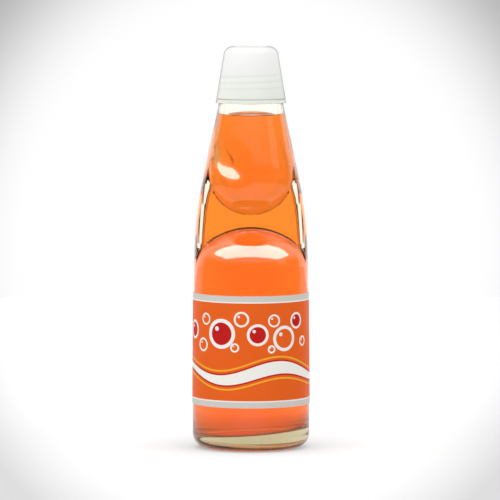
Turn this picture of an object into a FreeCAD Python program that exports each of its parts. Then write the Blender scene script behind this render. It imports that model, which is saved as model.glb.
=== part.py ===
import FreeCAD, Part
import os
import Sketcher

# Marble stopper bottle: a pinched glass bottle that a marble closes from inside, its drink and
# label, and a screw-on mouth cap with a push plunger.
# Millimetres, +Z up, origin on the table at the middle of the base. The front is -Y, and the two
# dimples that catch the marble are on the pouring side, -X.

doc = FreeCAD.newDocument("marble_stopper_bottle")

SIZES = {
    # Glass, outside
    "body_radius": 29.5,
    "heel_radius": 7.5,
    "punt_radius": 17.0,
    "punt_depth": 2.0,
    "spring_radius": 28.8,
    "spring_height": 92.0,
    "dome_rise": 20.0,
    "dome_corner": 15.0,
    "neck_lean": 1.4,
    "waist_depth": 19.0,
    "chamber_share": 0.5817,
    "neck_radius": 16.3,
    "neck_height": 172.8,
    "neck_round": 1.5,
    # Glass, threaded mouth
    "groove_radius": 13.6,
    "groove_length": 2.8,
    "bead_radius": 15.2,
    "bead_length": 2.4,
    "bead_round": 0.8,
    "root_radius": 12.4,
    "mouth_height": 17.2,
    "rim_round": 0.8,
    "thread_pitch": 3.18,
    "thread_runout": 3.4,
    "thread_depth": 1.3,
    "thread_root_width": 2.1,
    "thread_crest_width": 1.1,
    "thread_lead": 2.0,
    # Glass, inside
    "bore_radius": 9.1,
    "bore_share": 0.98,
    "glass_wall": 3.8,
    "chamber_wall": 7.6,
    "throat_gap": 11.5,
    "roof_slope": 1.0,
    "floor_thickness": 8.0,
    "floor_tilt": 4.4,
    # Glass, the dimples that catch the marble
    "dimple_depth_radius": 9.0,
    "dimple_long_radius": 14.0,
    "dimple_short_radius": 8.0,
    "dimple_depth": 4.0,
    "dimple_rise": 6.5,
    "dimple_angle": 60.0,
    "dimple_tilt": 38.0,
    "dimple_wall": 4.3,
    # Drink
    "fill_drop": 6.2,
    "drink_clearance": 0.05,
    # Marble and its seal
    "marble_radius": 8.4,
    "marble_clearance": 0.15,
    "gasket_bore": 7.0,
    "gasket_thickness": 2.5,
    "gasket_clearance": 0.1,
    "gasket_round": 0.4,
    # Mouth cap and its band
    "cap_foot_radius": 17.75,
    "cap_top_radius": 13.1,
    "cap_corner": 4.6,
    "cap_lift": 0.8,
    "web_thickness": 1.5,
    "web_hole": 6.2,
    "well_radius": 8.6,
    "well_depth": 8.0,
    "well_round": 0.4,
    "thread_clearance": 0.35,
    "bead_clearance": 0.4,
    "bead_headroom": 0.8,
    "thread_relief": 1.5,
    "cap_thread_share": 0.78,
    "cap_thread_root_width": 1.7,
    "cap_thread_crest_width": 0.8,
    "band_height": 2.0,
    "band_gap": 0.3,
    "band_clearance": 0.25,
    "hook_radius": 14.3,
    "hook_thickness": 0.7,
    "bridge_count": 8,
    "bridge_width": 0.8,
    "bridge_depth": 0.35,
    "bridge_clearance": 0.03,
    # Plunger and its collar
    "collar_clearance": 0.15,
    "collar_wall": 1.35,
    "collar_drop": 0.8,
    "plunger_clearance": 0.2,
    "plunger_drop": 0.6,
    "head_thickness": 1.4,
    "head_dish": 0.4,
    "stem_radius": 5.0,
    "stem_bore": 3.6,
    "stem_crown": 1.0,
    "tip_clearance": 0.3,
    # Label
    "label_bottom": 22.5,
    "label_height": 56.0,
    "label_thickness": 0.2,
    "label_clearance": 0.1,
    "label_gap": 28.0,
}


def fill_sheet():
    """Put each size into a row of the sheet, with its name as the alias."""
    table = doc.addObject("Spreadsheet::Sheet", "Sizes")
    for row, (alias, number) in enumerate(SIZES.items(), start=1):
        table.set(f"A{row}", alias)
        table.set(f"B{row}", str(number))
        table.setAlias(f"B{row}", alias)
    doc.recompute()
    return table


sheet = fill_sheet()


def size(alias):
    """The expression for one size of the sheet."""
    return f"Sizes.{alias}"


def value(expression):
    """The number that an expression gives with the sheet's sizes."""
    result = sheet.evalExpression(expression)
    return float(getattr(result, "Value", result))


# Sizes that follow from the others, as expressions

WALL_SLOPE = (
    f"(({size('spring_radius')} - {size('body_radius')})"
    f" / ({size('spring_height')} - {size('heel_radius')}))"
)
RIM_HEIGHT = f"({size('neck_height')} + {size('mouth_height')})"
NECK_RISE = f"({size('neck_height')} - {size('spring_height')})"
CHAMBER_HEIGHT = f"({size('spring_height')} + {size('chamber_share')} * {NECK_RISE})"
NECK_RUN = f"({size('spring_radius')} - {size('neck_radius')})"
NECK_TAPER = f"atan({size('neck_lean')} * {NECK_RUN} / {NECK_RISE})"
SWEEP_RADIUS = f"({NECK_RISE} * (1 - 1 / {size('neck_lean')}) / tan({NECK_TAPER} / 2))"
SWEEP_CENTRE = f"({size('spring_radius')} - {SWEEP_RADIUS})"
CHAMBER_CONE = (
    f"({size('neck_radius')} + ({size('neck_height')} - {CHAMBER_HEIGHT}) * tan({NECK_TAPER}))"
)
CHAMBER_RADIUS = f"({CHAMBER_CONE} * cos({NECK_TAPER}))"
CROWN_INSET = f"({size('spring_radius')} - {size('dome_corner')})"
CROWN_RADIUS = (
    f"(({size('dome_rise')}^2 + {CROWN_INSET}^2 - {size('dome_corner')}^2)"
    f" / (2 * ({size('dome_rise')} - {size('dome_corner')})))"
)
CROWN_CENTRE = f"({size('spring_height')} + {size('dome_rise')} - {CROWN_RADIUS})"
CROWN_ANGLE = f"atan2({size('spring_height')} - {CROWN_CENTRE}; {CROWN_INSET})"
GROOVE_START = f"({size('neck_height')} + {size('neck_round')})"
BEAD_START = f"({GROOVE_START} + {size('groove_length')})"
BEAD_END = f"({BEAD_START} + {size('bead_length')})"
CREST_RADIUS = f"({size('root_radius')} + {size('thread_depth')})"
THREAD_START = f"({BEAD_END} + {size('thread_lead')})"
THREAD_TURNS = f"(({RIM_HEIGHT} - {THREAD_START} - {size('thread_runout')}) / {size('thread_pitch')})"
BORE_END = f"({CHAMBER_HEIGHT} + {size('bore_share')} * ({RIM_HEIGHT} - {CHAMBER_HEIGHT}))"
FILL_HEIGHT = f"({size('neck_height')} - {size('fill_drop')})"
DIMPLE_HEIGHT = f"({CHAMBER_HEIGHT} + {size('dimple_rise')})"
DIMPLE_REACH = f"({CHAMBER_RADIUS} - {size('dimple_depth')})"
MARBLE_DROP = f"sqrt({size('marble_radius')}^2 - {size('gasket_bore')}^2)"
MARBLE_HEIGHT = f"({RIM_HEIGHT} - {MARBLE_DROP} - {size('marble_clearance')})"
GASKET_TOP = f"({RIM_HEIGHT} + {size('gasket_thickness')})"
WEB_TOP = f"({GASKET_TOP} + {size('web_thickness')})"
CAP_TOP = f"({WEB_TOP} + {size('well_depth')})"
BAND_BOTTOM = f"({size('neck_height')} + {size('cap_lift')})"
BAND_TOP = f"({BAND_BOTTOM} + {size('band_height')})"
CAP_BOTTOM = f"({BAND_TOP} + {size('band_gap')})"
CAP_SLOPE = f"(({size('cap_foot_radius')} - {size('cap_top_radius')}) / ({CAP_TOP} - {BAND_BOTTOM}))"
CORNER_LENGTH = f"({size('cap_corner')} * tan(45deg - atan({CAP_SLOPE}) / 2))"
POCKET_RADIUS = f"({size('root_radius')} + {size('thread_clearance')})"
THREAD_BORE = f"({CREST_RADIUS} + {size('thread_clearance')})"
THREAD_BORE_START = f"({BEAD_END} + {size('bead_headroom')})"
THREAD_BORE_END = f"({RIM_HEIGHT} - {size('thread_relief')})"
COLLAR_OUTER = f"({size('well_radius')} - {size('collar_clearance')})"
COLLAR_INNER = f"({COLLAR_OUTER} - {size('collar_wall')})"
HEAD_RADIUS = f"({COLLAR_INNER} - {size('plunger_clearance')})"
HEAD_TOP = f"({CAP_TOP} - {size('plunger_drop')})"
HEAD_BOTTOM = f"({HEAD_TOP} - {size('head_thickness')})"
TIP_CONTACT = f"sqrt({size('marble_radius')}^2 - {size('stem_bore')}^2)"
TIP_HEIGHT = f"({MARBLE_HEIGHT} + {TIP_CONTACT} + {size('tip_clearance')})"
LABEL_TOP = f"({size('label_bottom')} + {size('label_height')})"


def wall_radius(height):
    """Radius of the body's slightly tapered outer wall at a height."""
    return f"({size('body_radius')} + ({height} - {size('heel_radius')}) * {WALL_SLOPE})"


def cap_radius(height):
    """Radius of the cap's outer cone at a height."""
    return f"({size('cap_foot_radius')} - ({height} - {BAND_BOTTOM}) * {CAP_SLOPE})"


# Sketches and features

def origin_plane(body, role):
    """One of a body's own origin planes."""
    return next(part for part in body.Origin.OriginFeatures if part.Role == role)


def arc_between(start, end, radius, turn):
    """Arc of under half a circle from start to end: turn +1 is anticlockwise, -1 clockwise."""
    chord = end - start
    normal = FreeCAD.Vector(-chord.y, chord.x, 0).normalize() * turn
    reach = max(radius**2 - (chord.Length / 2) ** 2, 0.0) ** 0.5
    centre = (start + end) / 2 + normal * reach
    first, last = (start, end) if turn > 0 else (end, start)
    circle = Part.Circle(centre, FreeCAD.Vector(0, 0, 1), radius)
    return Part.ArcOfCircle(circle, circle.parameter(first), circle.parameter(last))


def outline(body, name, corners, arcs=None, role="XZ_Plane"):
    """Closed sketch whose corners are pairs of expressions, and whose named sides are arcs.

    A side is counted from its first corner, and an arc is (radius, turn).
    """
    arcs = arcs or {}
    sketch = body.newObject("Sketcher::SketchObject", name)
    sketch.AttachmentSupport = (origin_plane(body, role), [""])
    sketch.MapMode = "FlatFace"
    points = [FreeCAD.Vector(value(across), value(up), 0) for across, up in corners]
    count = len(points)
    starts = []
    ends = []
    for side in range(count):
        start, end = points[side], points[(side + 1) % count]
        if side in arcs:
            radius, turn = arcs[side]
            sketch.addGeometry(arc_between(start, end, value(radius), turn), False)
            starts.append(1 if turn > 0 else 2)
        else:
            sketch.addGeometry(Part.LineSegment(start, end), False)
            starts.append(1)
        ends.append(3 - starts[-1])
    for side in range(count):
        before = (side - 1) % count
        sketch.addConstraint(Sketcher.Constraint("Coincident", before, ends[before], side, starts[side]))
        place_corner(sketch, side, starts[side], points[side], corners[side])
        if side in arcs:
            radius = arcs[side][0]
            bind(sketch, f"arc{side}", Sketcher.Constraint("Radius", side, value(radius)), radius)
    doc.recompute()
    return sketch


def bind(sketch, name, constraint, expression):
    """Add a constraint and tie it to an expression."""
    index = sketch.addConstraint(constraint)
    sketch.renameConstraint(index, name)
    sketch.setExpression(f"Constraints.{name}", expression)


def place_corner(sketch, side, end, point, corner):
    """Hold one corner at its two expressions, or on an axis where one of them is nothing."""
    vertical_axis, horizontal_axis = -2, -1
    across, up = corner
    if across == "0":
        sketch.addConstraint(Sketcher.Constraint("PointOnObject", side, end, vertical_axis))
    else:
        bind(sketch, f"across{side}", Sketcher.Constraint("DistanceX", -1, 1, side, end, point.x), across)
    if up == "0":
        sketch.addConstraint(Sketcher.Constraint("PointOnObject", side, end, horizontal_axis))
    else:
        bind(sketch, f"up{side}", Sketcher.Constraint("DistanceY", -1, 1, side, end, point.y), up)


def new_body(name):
    """A body under its own name."""
    body = doc.addObject("PartDesign::Body", name)
    body.Label = name
    return body


def revolve(body, name, corners, arcs=None):
    """Turn an outline about the bottle's axis."""
    sketch = outline(body, f"{name}_outline", corners, arcs)
    feature = body.newObject("PartDesign::Revolution", name)
    feature.Profile = sketch
    feature.ReferenceAxis = (sketch, ["V_Axis"])
    feature.Angle = 360
    sketch.Visibility = False
    doc.recompute()
    return feature


def turned(name, corners, arcs=None):
    """A body that is one turned outline."""
    body = new_body(name)
    revolve(body, f"{name}_turned", corners, arcs)
    return body


def add_thread(body, name, corners, turns):
    """Add a right-hand ridge whose section is an outline beside the axis."""
    sketch = outline(body, f"{name}_section", corners)
    feature = body.newObject("PartDesign::AdditiveHelix", name)
    feature.Profile = sketch
    feature.ReferenceAxis = (sketch, ["V_Axis"])
    feature.Mode = "pitch-turns-angle"
    feature.setExpression("Pitch", size("thread_pitch"))
    feature.setExpression("Turns", turns)
    sketch.Visibility = False
    doc.recompute()


def add_ring_of(body, name, corners, width, count):
    """Add blocks of one section, evenly spaced about the axis."""
    sketch = outline(body, f"{name}_section", corners)
    pad = body.newObject("PartDesign::Pad", name)
    pad.Profile = sketch
    pad.SideType = "Symmetric"
    pad.setExpression("Length", width)
    doc.recompute()
    pattern = body.newObject("PartDesign::PolarPattern", f"{name}_ring")
    pattern.Originals = [pad]
    pattern.Axis = (sketch, ["V_Axis"])
    pattern.Angle = 360
    pattern.setExpression("Occurrences", count)
    body.Tip = pattern
    sketch.Visibility = False
    doc.recompute()


def fuse(name, shapes):
    """One solid of several."""
    joined = doc.addObject("Part::MultiFuse", name)
    joined.Shapes = shapes
    doc.recompute()
    return joined


def cut(name, base, tool):
    """One solid without the room of another."""
    rest = doc.addObject("Part::Cut", name)
    rest.Base = base
    rest.Tool = tool
    doc.recompute()
    return rest


def common(name, base, tool):
    """What two solids share."""
    shared = doc.addObject("Part::Common", name)
    shared.Base = base
    shared.Tool = tool
    doc.recompute()
    return shared


def slab(name, depth, top):
    """A block about the axis, from the table to a height, as deep front to back as given."""
    box = doc.addObject("Part::Box", name)
    width = f"4 * {size('body_radius')}"
    box.setExpression("Length", width)
    box.setExpression("Width", depth)
    box.setExpression("Height", top)
    box.setExpression("Placement.Base.x", f"-({width}) / 2")
    box.setExpression("Placement.Base.y", f"-({depth}) / 2")
    doc.recompute()
    return box


def dimple_form(name, side, extra):
    """Egg shape that forms one slanting dimple: side -1 is the front one, +1 the back one.

    Its local X points out of the bottle, Y along the dimple, and Z across it.
    """
    egg = doc.addObject("Part::Ellipsoid", name)
    egg.Angle1 = -90
    egg.setExpression("Radius1", f"{size('dimple_short_radius')} + {extra}")
    egg.setExpression("Radius2", f"{size('dimple_depth_radius')} + {extra}")
    egg.setExpression("Radius3", f"{size('dimple_long_radius')} + {extra}")
    heading = 180 - side * value(size("dimple_angle"))
    slope = side * value(size("dimple_tilt"))
    up = FreeCAD.Vector(0, 0, 1)
    outward = FreeCAD.Vector(1, 0, 0)
    turn = FreeCAD.Rotation(up, heading) * FreeCAD.Rotation(outward, slope)
    distance = value(f"{DIMPLE_REACH} + {size('dimple_depth_radius')}")
    centre = FreeCAD.Rotation(up, heading).multVec(outward) * distance
    egg.Placement = FreeCAD.Placement(centre + up * value(DIMPLE_HEIGHT), turn)
    doc.recompute()
    return egg


def dimple_pair(name, extra):
    """Both dimple forms, larger than the dimples by an expression."""
    return fuse(name, [dimple_form(f"{name}_front", -1, extra), dimple_form(f"{name}_back", 1, extra)])


# Glass bottle

def sweep_end(inset):
    """Where the smooth bottle's sweep meets its cone, set in by an inset: radius and height."""
    radius = f"({SWEEP_RADIUS} - {inset})"
    across = f"({SWEEP_CENTRE} + {radius} * cos({NECK_TAPER}))"
    return across, f"({size('spring_height')} + {radius} * sin({NECK_TAPER}))"


def sweep_corners():
    """The smooth bottle from the dome's spring line to where the chamber's ball meets the cone."""
    top = f"({CHAMBER_HEIGHT} + {CHAMBER_RADIUS} * sin({NECK_TAPER}))"
    corners = [
        ("0", size("spring_height")),
        (size("spring_radius"), size("spring_height")),
        sweep_end("0"),
        (f"({CHAMBER_RADIUS} * cos({NECK_TAPER}))", top),
        ("0", top),
    ]
    return corners, {1: (SWEEP_RADIUS, 1)}


def waist_room_corners(inset):
    """Side of the room in the waist: the sweep set in by an inset, under a roof that slopes to the neck."""
    across, up = sweep_end(inset)
    corners = [
        ("0", size("spring_height")),
        (f"({size('spring_radius')} - {inset})", size("spring_height")),
        (across, up),
        ("0", f"({up} + {across} * {size('roof_slope')})"),
    ]
    return corners, {1: (f"({SWEEP_RADIUS} - {inset})", 1)}


def dome_corners(inset):
    """The dome from the spring line to its top: corner arc, then crown arc, set in by an inset."""
    corner = f"({size('dome_corner')} - {inset})"
    crown = f"({CROWN_RADIUS} - {inset})"
    corners = [
        (f"({CROWN_INSET} + {corner})", size("spring_height")),
        (f"({crown} * cos({CROWN_ANGLE}))", f"({CROWN_CENTRE} + {crown} * sin({CROWN_ANGLE}))"),
        ("0", f"({CROWN_CENTRE} + {crown})"),
    ]
    return corners, corner, crown


def outer_body():
    """Base, heel, wall and domed shoulder."""
    dome, corner, crown = dome_corners("0")
    foot = f"({size('body_radius')} - {size('heel_radius')})"
    punt = f"(({size('punt_radius')}^2 + {size('punt_depth')}^2) / (2 * {size('punt_depth')}))"
    corners = [
        ("0", size("punt_depth")),
        (size("punt_radius"), "0"),
        (foot, "0"),
        (size("body_radius"), size("heel_radius")),
        *dome,
    ]
    arcs = {0: (punt, -1), 2: (size("heel_radius"), 1), 4: (corner, 1), 5: (crown, 1)}
    return turned("bottle_body", corners, arcs)


def outer_neck():
    """Ball-bottomed marble chamber, cone, and threaded mouth."""
    tangent = f"({CHAMBER_HEIGHT} + {CHAMBER_RADIUS} * sin({NECK_TAPER}))"
    beside = f"({CHAMBER_RADIUS} * cos({NECK_TAPER}))"
    bottom = f"({CHAMBER_HEIGHT} - {CHAMBER_RADIUS})"
    corners = [
        ("0", bottom),
        (CHAMBER_RADIUS, CHAMBER_HEIGHT),
        (beside, tangent),
        (size("neck_radius"), size("neck_height")),
        (f"({size('neck_radius')} - {size('neck_round')})", GROOVE_START),
        (size("groove_radius"), GROOVE_START),
        (size("groove_radius"), BEAD_START),
        (f"({size('bead_radius')} - {size('bead_round')})", BEAD_START),
        (size("bead_radius"), f"({BEAD_START} + {size('bead_round')})"),
        (size("bead_radius"), f"({BEAD_END} - {size('bead_round')})"),
        (f"({size('bead_radius')} - {size('bead_round')})", BEAD_END),
        (size("root_radius"), BEAD_END),
        (size("root_radius"), f"({RIM_HEIGHT} - {size('rim_round')})"),
        (f"({size('root_radius')} - {size('rim_round')})", RIM_HEIGHT),
        ("0", RIM_HEIGHT),
    ]
    arcs = {
        0: (CHAMBER_RADIUS, 1),
        1: (CHAMBER_RADIUS, 1),
        3: (size("neck_round"), 1),
        7: (size("bead_round"), 1),
        9: (size("bead_round"), 1),
        12: (size("rim_round"), 1),
    }
    body = turned("bottle_neck", corners, arcs)
    sunk = f"({size('root_radius')} - {size('rim_round')} / 2)"
    section = [
        (sunk, f"({THREAD_START} - {size('thread_root_width')} / 2)"),
        (size("root_radius"), f"({THREAD_START} - {size('thread_root_width')} / 2)"),
        (CREST_RADIUS, f"({THREAD_START} - {size('thread_crest_width')} / 2)"),
        (CREST_RADIUS, f"({THREAD_START} + {size('thread_crest_width')} / 2)"),
        (size("root_radius"), f"({THREAD_START} + {size('thread_root_width')} / 2)"),
        (sunk, f"({THREAD_START} + {size('thread_root_width')} / 2)"),
    ]
    add_thread(body, "bottle_thread", section, THREAD_TURNS)
    return body


def outer_waist():
    """The pinched waist: the smooth bottle, flattened front and back."""
    smooth = turned("waist_smooth", *sweep_corners())
    return common("waist", smooth, slab("waist_slab", size("waist_depth"), size("neck_height")))


def cavity(name, inset):
    """Room inside the glass, set in by an inset: body, waist and neck, less the backs of the dimples."""
    dome, corner, crown = dome_corners(f"({size('glass_wall')} + {inset})")
    side = f"({size('body_radius')} - {size('glass_wall')} - {inset})"
    low = f"({size('floor_thickness')} - {size('body_radius')} * tan({size('floor_tilt')} * 1deg))"
    lower = turned(f"{name}_body", [("0", low), (side, low), *dome], {2: (corner, 1), 3: (crown, 1)})
    waist = common(
        f"{name}_waist",
        turned(f"{name}_smooth", *waist_room_corners(f"({size('glass_wall')} + {inset})")),
        slab(f"{name}_slab", f"({size('throat_gap')} - 2 * {inset})", size("neck_height")),
    )
    room = fuse(f"{name}_room", [lower, waist, cavity_neck(name, inset)])
    held = cut(f"{name}_held", room, dimple_pair(f"{name}_dimples", f"{size('dimple_wall')} + {inset}"))
    return cut(f"{name}_floored", held, floor_wedge(f"{name}_wedge", inset))


def cavity_neck(name, inset):
    """Inside of the neck: bore, then a cone tangent to the chamber's ball."""
    ball = f"({CHAMBER_RADIUS} - {size('chamber_wall')} - {inset})"
    bore = f"({size('bore_radius')} - {inset})"
    rise = f"({BORE_END} - {CHAMBER_HEIGHT})"
    lean = f"(atan2({rise}; {bore}) - acos({ball} / hypot({rise}; {bore})))"
    above = f"({RIM_HEIGHT} + {size('rim_round')})"
    corners = [
        ("0", f"({CHAMBER_HEIGHT} - {ball})"),
        (ball, CHAMBER_HEIGHT),
        (f"({ball} * cos({lean}))", f"({CHAMBER_HEIGHT} + {ball} * sin({lean}))"),
        (bore, BORE_END),
        (bore, above),
        ("0", above),
    ]
    return turned(f"{name}_neck", corners, {0: (ball, 1), 1: (ball, 1)})


def floor_wedge(name, inset):
    """The glass of the base under the cavity: its top is tilted, thicker towards +X."""
    wedge = doc.addObject("Part::Box", name)
    width = f"(4 * {size('body_radius')})"
    top = f"({size('floor_thickness')} + {inset})"
    wedge.setExpression("Length", width)
    wedge.setExpression("Width", width)
    wedge.setExpression("Height", size("body_radius"))
    wedge.setExpression("Placement.Rotation.Angle", f"{size('floor_tilt')} * 1deg")
    wedge.Placement.Rotation.Axis = FreeCAD.Vector(0, -1, 0)
    tilt = f"{size('floor_tilt')} * 1deg"
    across = f"(-{width} / 2 * cos({tilt}) + {size('body_radius')} * sin({tilt}))"
    up = f"({top} - {width} / 2 * sin({tilt}) - {size('body_radius')} * cos({tilt}))"
    wedge.setExpression("Placement.Base.x", across)
    wedge.setExpression("Placement.Base.y", f"-{width} / 2")
    wedge.setExpression("Placement.Base.z", up)
    doc.recompute()
    return wedge


def glass_bottle():
    """The whole moulded bottle: outside, dimples, then the cavity."""
    outside = fuse("bottle_outside", [outer_body(), outer_waist(), outer_neck()])
    dented = cut("bottle_dented", outside, dimple_pair("dimples", "0"))
    bottle = cut("glass_bottle", dented, cavity("cavity", "0"))
    bottle.Label = "glass_bottle"
    return bottle


# Drink, marble, gasket and label

def drink():
    """The drink: the cavity up to the fill height."""
    inset = size("drink_clearance")
    depth = f"4 * {size('body_radius')}"
    filled = common("drink", cavity("drink", inset), slab("drink_level", depth, FILL_HEIGHT))
    filled.Label = "drink"
    return filled


def marble():
    """The glass ball, up against the gasket."""
    ball = doc.addObject("Part::Sphere", "marble")
    ball.Label = "marble"
    ball.setExpression("Radius", size("marble_radius"))
    ball.setExpression("Placement.Base.z", MARBLE_HEIGHT)
    doc.recompute()
    return ball


def mouth_gasket():
    """Rubber ring on the glass rim. Its lower inner edge is the marble's seat."""
    outer = f"({POCKET_RADIUS} - {size('gasket_clearance')})"
    corners = [
        (size("gasket_bore"), RIM_HEIGHT),
        (outer, RIM_HEIGHT),
        (outer, GASKET_TOP),
        (f"({size('gasket_bore')} + {size('gasket_round')})", GASKET_TOP),
        (size("gasket_bore"), f"({GASKET_TOP} - {size('gasket_round')})"),
    ]
    return turned("mouth_gasket", corners, {3: (size("gasket_round"), 1)})


def label_radius(height, film):
    """Radius at a height of the film's inner face, or of a face that lies so much further out."""
    return f"({wall_radius(height)} + {size('label_clearance')} + {film})"


def label_wrap():
    """Film around the front and sides of the body. Its two ends leave a gap at the back."""
    low, high = size("label_bottom"), LABEL_TOP
    film = size("label_thickness")
    corners = [
        (label_radius(low, 0), low),
        (label_radius(low, film), low),
        (label_radius(high, film), high),
        (label_radius(high, 0), high),
    ]
    body = new_body("label_wrap")
    sketch = outline(body, "label_outline", corners, role="YZ_Plane")
    feature = body.newObject("PartDesign::Revolution", "label_film")
    feature.Profile = sketch
    feature.ReferenceAxis = (sketch, ["V_Axis"])
    feature.setExpression("Angle", f"360deg - {size('label_gap')} / {size('body_radius')} * 1rad")
    feature.Midplane = True
    sketch.Visibility = False
    half_turn = FreeCAD.Rotation(FreeCAD.Vector(0, 0, 1), 180)
    body.Placement = FreeCAD.Placement(FreeCAD.Vector(0, 0, 0), half_turn)
    doc.recompute()
    return body


# Mouth cap, tamper band, plunger and collar

def mouth_cap():
    """Screw-on cap: threaded skirt, pocket for the gasket, web, and a rounded drinking mouth."""
    inside = f"({size('bead_radius')} + {size('bead_clearance')})"
    corner_top = f"({size('cap_top_radius')} - {CORNER_LENGTH})"
    corner_low = f"({CAP_TOP} - {CORNER_LENGTH} * cos(atan({CAP_SLOPE})))"
    corners = [
        (inside, CAP_BOTTOM),
        (cap_radius(CAP_BOTTOM), CAP_BOTTOM),
        (cap_radius(corner_low), corner_low),
        (corner_top, CAP_TOP),
        (f"({size('well_radius')} + {size('well_round')})", CAP_TOP),
        (size("well_radius"), f"({CAP_TOP} - {size('well_round')})"),
        (size("well_radius"), WEB_TOP),
        (size("web_hole"), WEB_TOP),
        (size("web_hole"), GASKET_TOP),
        (POCKET_RADIUS, GASKET_TOP),
        (POCKET_RADIUS, THREAD_BORE_END),
        (THREAD_BORE, THREAD_BORE_END),
        (THREAD_BORE, THREAD_BORE_START),
        (inside, THREAD_BORE_START),
    ]
    body = new_body("mouth_cap")
    revolve(body, "mouth_cap_turned", corners, {2: (size("cap_corner"), 1), 4: (size("well_round"), 1)})
    middle = f"({THREAD_START} + {size('thread_pitch')} / 2)"
    sunk = f"({THREAD_BORE} + {size('thread_clearance')})"
    section = [
        (POCKET_RADIUS, f"({middle} - {size('cap_thread_crest_width')} / 2)"),
        (THREAD_BORE, f"({middle} - {size('cap_thread_root_width')} / 2)"),
        (sunk, f"({middle} - {size('cap_thread_root_width')} / 2)"),
        (sunk, f"({middle} + {size('cap_thread_root_width')} / 2)"),
        (THREAD_BORE, f"({middle} + {size('cap_thread_root_width')} / 2)"),
        (POCKET_RADIUS, f"({middle} + {size('cap_thread_crest_width')} / 2)"),
    ]
    add_thread(body, "cap_thread", section, f"({size('cap_thread_share')} * {THREAD_TURNS})")
    return body


def tamper_band():
    """Ring left on the neck when the cap turns: wall, hook under the bead, and break-off bridges."""
    inside = f"({size('neck_radius')} + {size('band_clearance')})"
    hook = f"({BAND_TOP} - {size('hook_thickness')})"
    corners = [
        (inside, BAND_BOTTOM),
        (size("cap_foot_radius"), BAND_BOTTOM),
        (cap_radius(BAND_TOP), BAND_TOP),
        (size("hook_radius"), BAND_TOP),
        (size("hook_radius"), hook),
        (inside, hook),
    ]
    body = new_body("tamper_band")
    revolve(body, "tamper_band_turned", corners)
    bridge_top = f"({CAP_BOTTOM} - {size('bridge_clearance')})"
    section = [
        (inside, hook),
        (f"({inside} + {size('bridge_depth')})", hook),
        (f"({inside} + {size('bridge_depth')})", bridge_top),
        (inside, bridge_top),
    ]
    add_ring_of(body, "bridge", section, size("bridge_width"), size("bridge_count"))
    return body


def plunger_ring():
    """Collar that stands on the cap's web and guides the plunger."""
    top = f"({CAP_TOP} - {size('collar_drop')})"
    corners = [
        (COLLAR_INNER, WEB_TOP),
        (COLLAR_OUTER, WEB_TOP),
        (COLLAR_OUTER, top),
        (COLLAR_INNER, top),
    ]
    return turned("plunger_ring", corners)


def plunger():
    """Pusher: a dished head in the collar, and a hollow stem that ends just above the marble."""
    dish = f"(({HEAD_RADIUS} - {size('head_dish')})^2 + {size('head_dish')}^2) / (2 * {size('head_dish')})"
    crown = f"({HEAD_BOTTOM} - {size('stem_crown')})"
    corners = [
        ("0", crown),
        (size("stem_bore"), crown),
        (size("stem_bore"), TIP_HEIGHT),
        (size("stem_radius"), TIP_HEIGHT),
        (size("stem_radius"), HEAD_BOTTOM),
        (HEAD_RADIUS, HEAD_BOTTOM),
        (HEAD_RADIUS, HEAD_TOP),
        (f"({HEAD_RADIUS} - {size('head_dish')})", HEAD_TOP),
        ("0", f"({HEAD_TOP} - {size('head_dish')})"),
    ]
    return turned("plunger", corners, {7: (dish, -1)})


def check(parts):
    """Stop if any object failed to build or any piece isn't one sound solid."""
    broken = [item.Name for item in doc.Objects if {"Invalid", "Error"} & set(item.State)]
    if broken:
        raise RuntimeError(f"did not build: {broken}")
    for part in parts:
        shape = part.Shape
        if shape.isNull() or not shape.isValid() or len(shape.Solids) != 1:
            raise RuntimeError(f"not one sound solid: {part.Label}")
        print(part.Label, round(shape.Volume, 1), "mm3")


def write(parts):
    """Write each piece to its own file."""
    os.makedirs("parts", exist_ok=True)
    for part in parts:
        part.Shape.exportStep(os.path.join("parts", f"{part.Label}.step"))


pieces = [
    glass_bottle(),
    drink(),
    label_wrap(),
    marble(),
    mouth_gasket(),
    mouth_cap(),
    tamper_band(),
    plunger_ring(),
    plunger(),
]
doc.recompute()
check(pieces)
write(pieces)
print("marble centre", round(value(MARBLE_HEIGHT), 3), "plunger tip", round(value(TIP_HEIGHT), 3))
print("cap top", round(value(CAP_TOP), 3), "cap bottom", round(value(CAP_BOTTOM), 3))
print("head bottom", round(value(HEAD_BOTTOM), 3), "web top", round(value(WEB_TOP), 3))
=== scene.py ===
"""Looks of a marble stopper bottle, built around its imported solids.

Sizes are in millimetres and become metres when a mesh is made. +Z is up and the front is -Y.
"""

import logging
import math
from abc import ABC, abstractmethod
from dataclasses import dataclass, field
from enum import Enum
from typing import Any, Sequence

import bpy
import numpy as np
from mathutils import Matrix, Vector

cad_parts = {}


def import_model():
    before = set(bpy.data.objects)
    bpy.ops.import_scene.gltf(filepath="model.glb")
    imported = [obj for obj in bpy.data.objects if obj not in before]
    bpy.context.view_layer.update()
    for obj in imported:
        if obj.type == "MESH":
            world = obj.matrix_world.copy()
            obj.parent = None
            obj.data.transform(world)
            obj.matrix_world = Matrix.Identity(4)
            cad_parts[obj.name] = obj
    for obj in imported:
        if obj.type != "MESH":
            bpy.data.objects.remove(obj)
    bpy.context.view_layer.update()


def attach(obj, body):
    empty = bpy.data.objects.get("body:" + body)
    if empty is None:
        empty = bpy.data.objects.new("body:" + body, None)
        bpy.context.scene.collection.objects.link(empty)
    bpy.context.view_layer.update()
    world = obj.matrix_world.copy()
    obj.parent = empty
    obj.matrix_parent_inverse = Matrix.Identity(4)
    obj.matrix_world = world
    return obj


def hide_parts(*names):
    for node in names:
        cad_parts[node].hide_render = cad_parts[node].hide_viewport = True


log = logging.getLogger("marble_stopper_bottle")

MILLIMETRE = 0.001
FULL_TURN = 2.0 * math.pi

Colour = tuple[float, float, float]
Place = tuple[float, float, float]


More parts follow.
